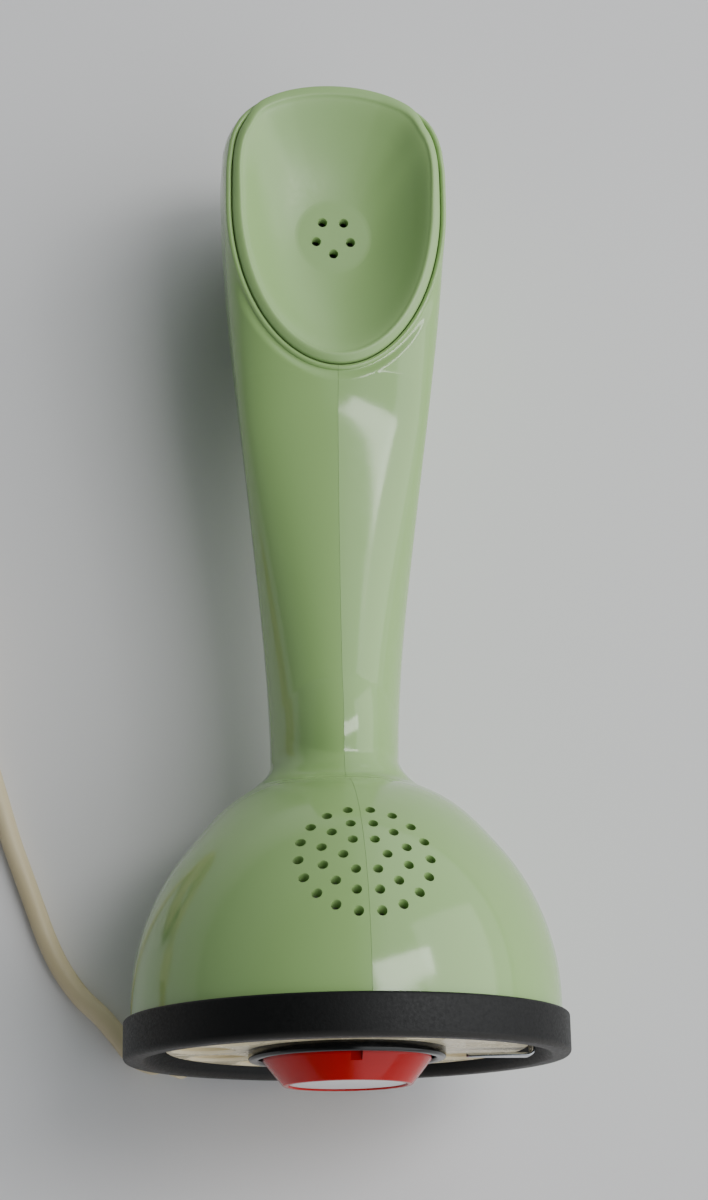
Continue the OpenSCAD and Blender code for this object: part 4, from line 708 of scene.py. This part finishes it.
# Cream plastic: warm and glossy, yellowed in clouds, dulled by fine scuffs.
dial_cream = aged("moulded_cream_plastic", "#FBEFCF", "#EEDDB0", 18, 2.5, (0.14, 0.32), 0.05)[0]
plate = lathe("dial_number_plate", [(PLATE_IN, PLATE_H),
    *corner(WHEEL_R - 0.1, PLATE_H + PLATE_ROUND, PLATE_ROUND, -90, 0),
    (WHEEL_R + 0.2, PLATE_H + PLATE_T), (PLATE_IN, PLATE_H + PLATE_T)], dial_cream)
settle(plate, "case", ["number_plate"])

# Digits: ten plain numbers printed in black ink on the number plate. They are read from below,
# through the finger holes.
DIGIT_SIZE, INK_T, INK_OFF = 9.6, 0.02, 0.03
# Printing ink: dull black, rubbed a little brown.
digit_ink = aged("black_printing_ink", "#141414", "#2C2A26", 1.2, 0.5, (0.4, 0.5), 0.02)[0]
for k, digit in enumerate("1234567890"):
    letter = bpy.data.curves.new("digit", "FONT")
    letter.body = digit
    letter.size = DIGIT_SIZE
    letter.extrude = INK_T
    drawn = put("digit", letter)
    mesh = bpy.data.meshes.new_from_object(drawn.evaluated_get(bpy.context.evaluated_depsgraph_get()))
    bpy.data.objects.remove(drawn)
    angle = math.radians(FIRST_HOLE + k * HOLE_STEP)
    co = np.array([vertex.co for vertex in mesh.vertices])
    co[:, :2] -= (co[:, :2].max(0) + co[:, :2].min(0)) / 2
    placed = stand(co[:, 0] + HOLE_CIRCLE * math.cos(angle), co[:, 1] + HOLE_CIRCLE * math.sin(angle),
        PLATE_H - INK_OFF - co[:, 2])
    mesh.vertices.foreach_set("co", placed.ravel())
    mesh.materials.append(digit_ink)
    settle(put("dial_digit_" + digit, mesh), "case")

# Finger stop: a hook bent from bright steel strip, held at the rim of the number plate. It reaches
# over the finger wheel on the right.
STOP_H, STOP_T, LEG_X, LEG_W, STOP_BEND, STOP_ROUND = 0.95, 0.9, 41.1, 2.45, 1.2, 5.0


def squarish(turn, power):
    """Cosine and sine of a round that gets squarer as the power rises."""
    c, s = np.cos(turn), np.sin(turn)
    return np.sign(c) * np.abs(c) ** (2 / power), np.sign(s) * np.abs(s) ** (2 / power)


stop_way = [(26.4, STOP_H, 0.15), (26.7, STOP_H, 0.5), (27.6, STOP_H, 0.9), (30.0, STOP_H, 1.35),
    (34.6, STOP_H, 2.1), (39.0, STOP_H, 2.4)]
stop_way += [(*p, LEG_W) for p in corner(LEG_X - STOP_BEND, STOP_H + STOP_BEND, STOP_BEND, -90, 0, 7)]
stop_way.append((LEG_X, FOOT_SEAT, LEG_W))
stop_line = np.array([p[:2] for p in stop_way])
heading = np.gradient(stop_line, axis=0)
heading /= np.linalg.norm(heading, axis=1, keepdims=True)
rim = np.linspace(0, 2 * math.pi, 28, endpoint=False)
flat_c, flat_s = squarish(rim, STOP_ROUND)
stop_points = [stand(px - dh * STOP_T / 2 * flat_s, half_w * flat_c, ph + dx * STOP_T / 2 * flat_s)
    for (px, ph, half_w), (dx, dh) in zip(stop_way, heading)]
stop_hook = piece("finger_stop_hook", np.concatenate(stop_points), stack_faces(len(stop_way), len(rim)),
    bright_steel)
settle(stop_hook, "case", ["finger_stop"], 50)

# Finger wheel: a disc moulded in cream plastic with ten chamfered finger holes. It is snapped on to
# the collar and turns with it.
WHEEL_IN, WHEEL_TOP, WHEEL_ROUND, WHEEL_TOP_ROUND = 2.3, 4.4, 0.9, 0.3
wheel = lathe("dial_finger_wheel", [(COLLAR_R, WHEEL_IN),
    *corner(WHEEL_R - WHEEL_ROUND, WHEEL_IN + WHEEL_ROUND, WHEEL_ROUND, -90, 0),
    *corner(WHEEL_R - WHEEL_TOP_ROUND, WHEEL_TOP - WHEEL_TOP_ROUND, WHEEL_TOP_ROUND, 0, 90, 3),
    (COLLAR_R, WHEEL_TOP)], dial_cream)
grow(wheel, hole_tree, hole_sockets, hole_diameter=HOLE_D * MM, edge=0.6 * MM, flare=1.0, depth=12 * MM,
    circle_radius=HOLE_CIRCLE * MM, places=360 // HOLE_STEP, holes=HOLES,
    first_angle=math.radians(FIRST_HOLE), centre=stand(0.0, 0.0, WHEEL_IN),
    facing=(math.radians(90), 0.0, 0.0))
settle(plain(wheel), "dial", ["finger_wheel"])

# Collar: a glossy moulding in black phenolic, in the middle of the finger wheel. It sits on the
# dial's hollow shaft and guides the plunger.
COLLAR_IN, COLLAR_EDGE, FLANGE_W, FLANGE_T, FLOOR_H, FLOOR_T, SHAFT_R = 19.4, 0.7, 2.8, 0.8, 8.0, 2.0, 5.0
# Polished phenolic: deep black with a mirror gloss, a little swirled by handling.
collar_black = aged("black_phenolic_polished", "#0E0E0F", "#161617", 6, 4, (0.05, 0.14), 0.02)[0]
collar = lathe("dial_collar", corner(COLLAR_IN + COLLAR_EDGE, COLLAR_EDGE, COLLAR_EDGE, 180, 270)
    + corner(COLLAR_R - COLLAR_EDGE, COLLAR_EDGE, COLLAR_EDGE, -90, 0)
    + [(COLLAR_R, WHEEL_TOP), (COLLAR_R + FLANGE_W, WHEEL_TOP), (COLLAR_R + FLANGE_W, WHEEL_TOP + FLANGE_T),
    (COLLAR_R, WHEEL_TOP + FLANGE_T), (COLLAR_R, FLOOR_H + FLOOR_T), (SHAFT_R, FLOOR_H + FLOOR_T),
    (SHAFT_R, FLOOR_H), (COLLAR_IN, FLOOR_H)], collar_black)
settle(collar, "dial", ["wheel_hub"])

# Plunger: a glossy red moulded cup that the table pushes in when the telephone is put down. Its
# flank has one small notch at the front, and its end holds a pale disc.
PLUNGER_R, TIP_R, PLUNGER_OUT, SKIRT_H, STEM_R, RIM_W, RECESS = 18.5, 14.4, 5.4, 1.8, 3.3, 1.3, 0.8
CUP_WALL, CUP_ROOF, SOCKET_ROOF = 2, -1, -2.4
# Red plastic: saturated and glossy, with fine rubbing marks.
plunger_red = aged("moulded_red_plastic", "#C40B08", "#B00704", 12, 2, (0.08, 0.2), 0.04, specular=0.3)[0]
plunger = lathe("plunger_cup", [(0, RECESS - PLUNGER_OUT), (TIP_R - RIM_W, RECESS - PLUNGER_OUT),
    (TIP_R - RIM_W, 0.15 - PLUNGER_OUT), (TIP_R - RIM_W + 0.15, -PLUNGER_OUT),
    *corner(TIP_R - 0.5, 0.5 - PLUNGER_OUT, 0.5, -90, -40), (PLUNGER_R - 0.25, -0.3), (PLUNGER_R, 0.1),
    (PLUNGER_R, SKIRT_H), (PLUNGER_R - CUP_WALL, SKIRT_H), (PLUNGER_R - CUP_WALL, CUP_ROOF),
    (STEM_R + CUP_WALL, CUP_ROOF), (STEM_R + CUP_WALL, SKIRT_H), (STEM_R, SKIRT_H), (STEM_R, SOCKET_ROOF),
    (0, SOCKET_ROOF)], plunger_red)
NOTCH_W, NOTCH_DEEP, NOTCH_H = 2.5, 1.3, -2.6
notch_low = stand(-NOTCH_W / 2, PLUNGER_R - NOTCH_DEEP, NOTCH_H)
notch_high = stand(NOTCH_W / 2, PLUNGER_R + 2, SKIRT_H + 1)
notch = bpy.data.meshes.new("notch")
shape = bmesh.new()
bmesh.ops.create_cube(shape, size=1.0)
for vertex in shape.verts:
    vertex.co = [notch_low[i] if vertex.co[i] < 0 else notch_high[i] for i in range(3)]
shape.to_mesh(notch)
shape.free()
notch_tool = put("notch", notch)
cutting = plunger.modifiers.new("notch", "BOOLEAN")
cutting.object, cutting.operation, cutting.solver = notch_tool, "DIFFERENCE", "EXACT"
plain(plunger)
bpy.data.objects.remove(notch_tool)
settle(plunger, "plunger", ["plunger_cap"])

# Plunger disc: a thin disc cut from pale grey laminate and let into the plunger's end, a little below
# its rim.
DISC_SUNK = 0.4
# Laminate: pale grey and satin, clouded by rubbing.
plunger_card = aged("pale_grey_laminate", "#F0EFEF", "#DCDADA", 5, 1.5, (0.3, 0.45), 0.03)[0]
card_r = TIP_R - RIM_W - 0.1
card = lathe("plunger_card", [(0, DISC_SUNK - PLUNGER_OUT), (card_r - 0.3, DISC_SUNK - PLUNGER_OUT),
    (card_r, DISC_SUNK + 0.1 - PLUNGER_OUT), (card_r, RECESS - PLUNGER_OUT),
    (0, RECESS - PLUNGER_OUT)], plunger_card)
settle(card, "plunger", ["plunger_disc"])

# Hook switch: the plunger's steel stem slides through the dial, with a clip and a coil spring, and
# lifts brass leaves on a phenolic block above the works.
dress(bright_steel, "plunger_stem", "stem_clip", "plunger_spring")
dress(zinc_steel, "hook_bracket")
dress(phenolic, "hook_block")
dress(brass, "hook_leaves")

# Speech circuit: a transformer wound with enamelled copper on a steel core, a capacitor in an
# aluminium can under a strap, and a row of brass terminals on board.
# Enamelled winding: dark copper red with a varnish gloss, ribbed by the turns, drawn 0.8 mm apart to show.
winding, tree, shader, where, _ = aged("enamelled_copper_winding", "#8E4C22", "#6E3717", 5, 1.0,
    (0.2, 0.35), 0.05)
emboss(tree, shader, bands(tree, where, 0.8, "Y"), 0.5)
dress(winding, "induction_coil")
dress(zinc_steel, "coil_core", "capacitor_strap")
dress(capsule_metal, "capacitor")
dress(phenolic, "terminal_strip")
dress(brass, "terminal_screws")

# Cord gland: a soft tapered boot in cream PVC round the cord where it leaves the foot ring, with
# shallow rings so that it bends.
gland_dir = np.array([math.sin(GLAND_TURN), 0.0, math.cos(GLAND_TURN)])
gland_axis = (stand(0.0, 0.0, GLAND_H), gland_dir, np.array([0.0, 1.0, 0.0]))
GLAND_IN, GLAND_BODY = 45.4, 3.1
gland_outline = [(0, GLAND_IN), (GLAND_BODY, GLAND_IN), (GLAND_BODY, FOOT_R), (4.0, 49.2), (4.1, 49.7),
    (3.7, 50.0), (3.5, 50.4), (3.7, 50.8), (3.5, 51.2), (3.2, 51.5), (3.4, 51.9), (3.2, 52.3), (2.85, 52.9),
    (2.45, GLAND_OUT), (0, GLAND_OUT)]
gland = lathe("cord_boot", gland_outline, cord_pvc, gland_axis, 48)
settle(gland, "case", ["cord_gland"])

# Cord tie: a strap woven in dark grey nylon. It passes once round the coil and is lapped on itself
# on top.
TIE_W, TIE_T, TIE_ROUND, TIE_EDGE, LAP_L, LAP_LIFT = 10.0, 0.8, 3.0, 0.2, 15.0, 0.02
TIE_SLACK, TIE_RISE = 0.6, 0.3
tie_in = COIL_OUT - COIL_PITCH * COIL_TURNS - CORD_R - TIE_SLACK
tie_out = COIL_OUT - 0.5 * COIL_PITCH + CORD_R + TIE_SLACK
tie_top = COIL_Z + COIL_PITCH + CORD_R + TIE_RISE
# Woven nylon: dark grey and dull, in a plain weave drawn 0.9 mm wide to show.
tie_nylon, tree, shader, where, _ = aged("woven_nylon_strap", "#45464A", "#35363A", 8, 0.9, (0.6, 0.8), 0.1)
warp, weft = (bands(tree, where, 0.9, direction) for direction in "XY")
emboss(tree, shader, reckon(tree, "MULTIPLY", warp, weft), 0.6)


def strap(way, closed):
    """A flat strap with soft edges along a line of heights in the plane across the coil."""
    way = np.array(way)
    ahead = np.roll(way, -1, 0) - np.roll(way, 1, 0) if closed else np.gradient(way, axis=0)
    ahead /= np.linalg.norm(ahead, axis=1, keepdims=True)
    half_w, half_t = TIE_W / 2, TIE_T / 2
    flat_w = half_w - TIE_EDGE
    ring = [(-half_w, 0), (-flat_w, half_t), (flat_w, half_t), (half_w, 0), (flat_w, -half_t),
        (-flat_w, -half_t)]
    points = [on_table(np.array([COIL_X + a for a, b in ring]), np.array([y - dz * b for a, b in ring]),
        np.array([z + dy * b for a, b in ring])) for (y, z), (dy, dz) in zip(way, ahead)]
    faces = rings_to_faces(len(way), len(ring), True) if closed else stack_faces(len(way), len(ring))
    return np.concatenate(points), faces


low_y, high_y = COIL_Y - tie_out - TIE_T / 2, COIL_Y - tie_in + TIE_T / 2
low_z, high_z = TIE_T / 2, tie_top + TIE_T / 2
tie_way = (corner(high_y - TIE_ROUND, high_z - TIE_ROUND, TIE_ROUND, 0, 90)
    + corner(low_y + TIE_ROUND, high_z - TIE_ROUND, TIE_ROUND, 90, 180)
    + corner(low_y + TIE_ROUND, low_z + TIE_ROUND, TIE_ROUND, 180, 270)
    + corner(high_y - TIE_ROUND, low_z + TIE_ROUND, TIE_ROUND, 270, 360))
lap_y = (low_y + high_y) / 2
lap_way = [(lap_y - LAP_L / 2 + LAP_L * t, high_z + TIE_T + LAP_LIFT - 0.3 * max(0, t - 0.9))
    for t in np.linspace(0, 1, 9)]
tie_points, tie_faces = strap(tie_way, True)
lap_points, lap_faces = strap(lap_way, False)
tie_faces += [tuple(len(tie_points) + k for k in face) for face in lap_faces]
tie = piece("coil_tie", np.concatenate([tie_points, lap_points]), tie_faces, tie_nylon)
settle(tie, "case", ["cord_tie"])

# Plug: a moulded cream shell round three pins, with a ringed sleeve for the cord and ribs on both
# sides to grip.
PLUG_Z, PLUG_W, PLUG_NECK, PLUG_L, PLUG_LINE, PLUG_SIDES = 8.9, 12.0, 9.0, 39.0, 0.25, 64
RIBS, RIB_STEP, RIB_FROM = 5, 2.0, 27.0
plug_rings = [(0.0, 2.6, 2.6, 2.0), (0.1, 3.0, 3.0, 2.0)]
for k in range(4):
    plug_rings += [(l + 2 * k, r + 0.25 * k, r + 0.25 * k, 2.0)
        for l, r in ((0.5, 3.5), (1.5, 3.6), (1.8, 3.2), (2.2, 3.2))]
plug_rings += [(PLUG_NECK, 4.6, 4.6, 2.0), (9.3, 5.6, 5.4, 2.3), (9.9, 7.2, 6.4, 2.6), (10.9, 9.0, 7.5, 3.0),
    (12.2, 10.5, 8.3, 3.4), (13.8, 11.5, 8.7, 3.8), (15.6, PLUG_W, PLUG_Z, 4.0), (23.9, PLUG_W, PLUG_Z, 4.0),
    (24.0, PLUG_W - PLUG_LINE, PLUG_Z - PLUG_LINE, 4.0), (24.4, PLUG_W - PLUG_LINE, PLUG_Z - PLUG_LINE, 4.0),
    (24.5, PLUG_W, PLUG_Z, 4.0), (37.6, PLUG_W, PLUG_Z, 4.0), (38.4, 11.8, 8.7, 4.0), (38.8, 11.4, 8.3, 4.0),
    (PLUG_L, 10.8, 7.7, 4.0)]
turn = np.linspace(0, 2 * math.pi, PLUG_SIDES, endpoint=False)
plug_points = []
for l, half_w, half_z, power in plug_rings:
    c, s = squarish(turn, power)
    plug_points.append(on_table(coil_finish[0] + half_w * c, np.full(PLUG_SIDES, coil_finish[1] - l),
        coil_finish[2] + half_z * s))
plug = piece("plug_shell", np.concatenate(plug_points), stack_faces(len(plug_rings), PLUG_SIDES), cord_pvc)

# The rib tree sets a row of long soft ribs on a piece
rib_tree, rib_sockets, given = tree_inputs("grip_ribs", {"Geometry": "Geometry", "Ribs": "Int",
    "First": "Vector", "Step": "Vector", "Rib Size": "Vector", "Finish": "Material"})
row = add(rib_tree, "GeometryNodeMeshLine", {"Count": given["Ribs"], "Start Location": given["First"],
    "Offset": given["Step"]}, mode="OFFSET")
bead = add(rib_tree, "GeometryNodeMeshUVSphere", {"Segments": 16, "Rings": 12, "Radius": 1.0})
ribs = add(rib_tree, "GeometryNodeInstanceOnPoints", {"Points": row.outputs[0],
    "Instance": bead.outputs["Mesh"], "Scale": given["Rib Size"]})
real_ribs = add(rib_tree, "GeometryNodeRealizeInstances", {"Geometry": ribs.outputs[0]})
joined = add(rib_tree, "GeometryNodeJoinGeometry", {"Geometry": real_ribs.outputs[0]})
rib_tree.links.new(given["Geometry"], joined.inputs["Geometry"])
dressed = add(rib_tree, "GeometryNodeSetMaterial", {"Geometry": joined.outputs[0],
    "Material": given["Finish"]})
add(rib_tree, "NodeGroupOutput", {0: dressed.outputs[0]})
for side in (-1, 1):
    grow(plug, rib_tree, rib_sockets, ribs=RIBS, step=(0.0, -RIB_STEP * MM, 0.0),
        first=on_table(coil_finish[0] + side * PLUG_W, coil_finish[1] - RIB_FROM, coil_finish[2]),
        rib_size=(0.7 * MM, 0.6 * MM, 5.5 * MM))
settle(plain(plug), "case", ["cord_plug"])

# Plug pins: three pins turned in brass, each with a shoulder and a rounded end. They are pressed into
# the plug's face.
PIN_R, PIN_L, PIN_ROUND, SHOULDER, PIN_DEEP = 1.8, 14.0, 0.8, 0.5, 1.0
PIN_PLACES = ((-6, -2), (0, 4), (6, -2))
pin_outline = [(0, -PIN_DEEP), (PIN_R + SHOULDER, -PIN_DEEP), (PIN_R + SHOULDER, 0.4), (PIN_R + 0.2, 0.6),
    (PIN_R, 0.8), *corner(PIN_R - PIN_ROUND, PIN_L - PIN_ROUND, PIN_ROUND, 0, 80), (0, PIN_L)]
pins = []
for x, up_by in PIN_PLACES:
    place = on_table(coil_finish[0] + x, coil_finish[1] - PLUG_L, coil_finish[2] + up_by)
    pin = lathe("plug_pin_" + str(len(pins) + 1), pin_outline, brass,
        (place, np.array([0.0, -1.0, 0.0]), np.array([1.0, 0.0, 0.0])), 32)
    pins.append(settle(pin, "case", ["plug_pins"]))

# Stage: a plain pale table top, with two soft windows of light on the right and a room that darkens
# to the left.
floor_mesh = bpy.data.meshes.new("table_top")
TABLE = 4.0
floor_mesh.from_pydata([(-TABLE, -TABLE, 0), (TABLE, -TABLE, 0), (TABLE, TABLE, 0), (-TABLE, TABLE, 0)], [],
    [(0, 1, 2, 3)])
floor = put("table_top", floor_mesh)
# Cloth: pale grey and matt, with a fine unevenness.
table_cloth = aged("pale_table_cloth", "#DEDCDB", "#D8D6D6", 160, 1.2, (0.85, 0.95), 0.05)[0]
floor_mesh.materials.append(table_cloth)


def area_light(name, place, aim, size, size_y, energy):
    data = bpy.data.lights.new(name, "AREA")
    data.shape, data.size, data.size_y = "RECTANGLE", size, size_y
    data.energy = energy
    lamp = put(name, data)
    lamp.location = place
    lamp.rotation_euler = (Vector(aim) - Vector(place)).to_track_quat("-Z", "Y").to_euler()


area_light("roof_window", (0.42, 0.11, 0.97), (0.0, 0.0, 0.03), 0.2, 0.55, 3.0)
area_light("side_window", (0.95, 0.2, 0.7), (0.0, 0.0, 0.05), 0.9, 0.9, 4)
world = bpy.data.worlds.new("studio")
scene.world = world
world.use_nodes = True
sky = world.node_tree
towards = add(sky, "ShaderNodeSeparateXYZ", {0: add(sky, "ShaderNodeTexCoord", {}).outputs["Generated"]})
across = add(sky, "ShaderNodeMapRange", {"Value": towards.outputs["X"], "From Min": -0.05, "From Max": 0.3},
    interpolation_type="SMOOTHSTEP")
low = add(sky, "ShaderNodeMapRange", {"Value": towards.outputs["Z"], "From Min": 0.75, "From Max": 0.35},
    interpolation_type="SMOOTHSTEP")
dark_side = blend(sky, low.outputs["Result"], srgb("#33383A"), srgb("#6A6E71"))
room = blend(sky, across.outputs["Result"], dark_side, srgb("#EEF2F6"))
sky.links.new(room, sky.nodes["Background"].inputs["Color"])
sky.nodes["Background"].inputs["Strength"].default_value = 1.65
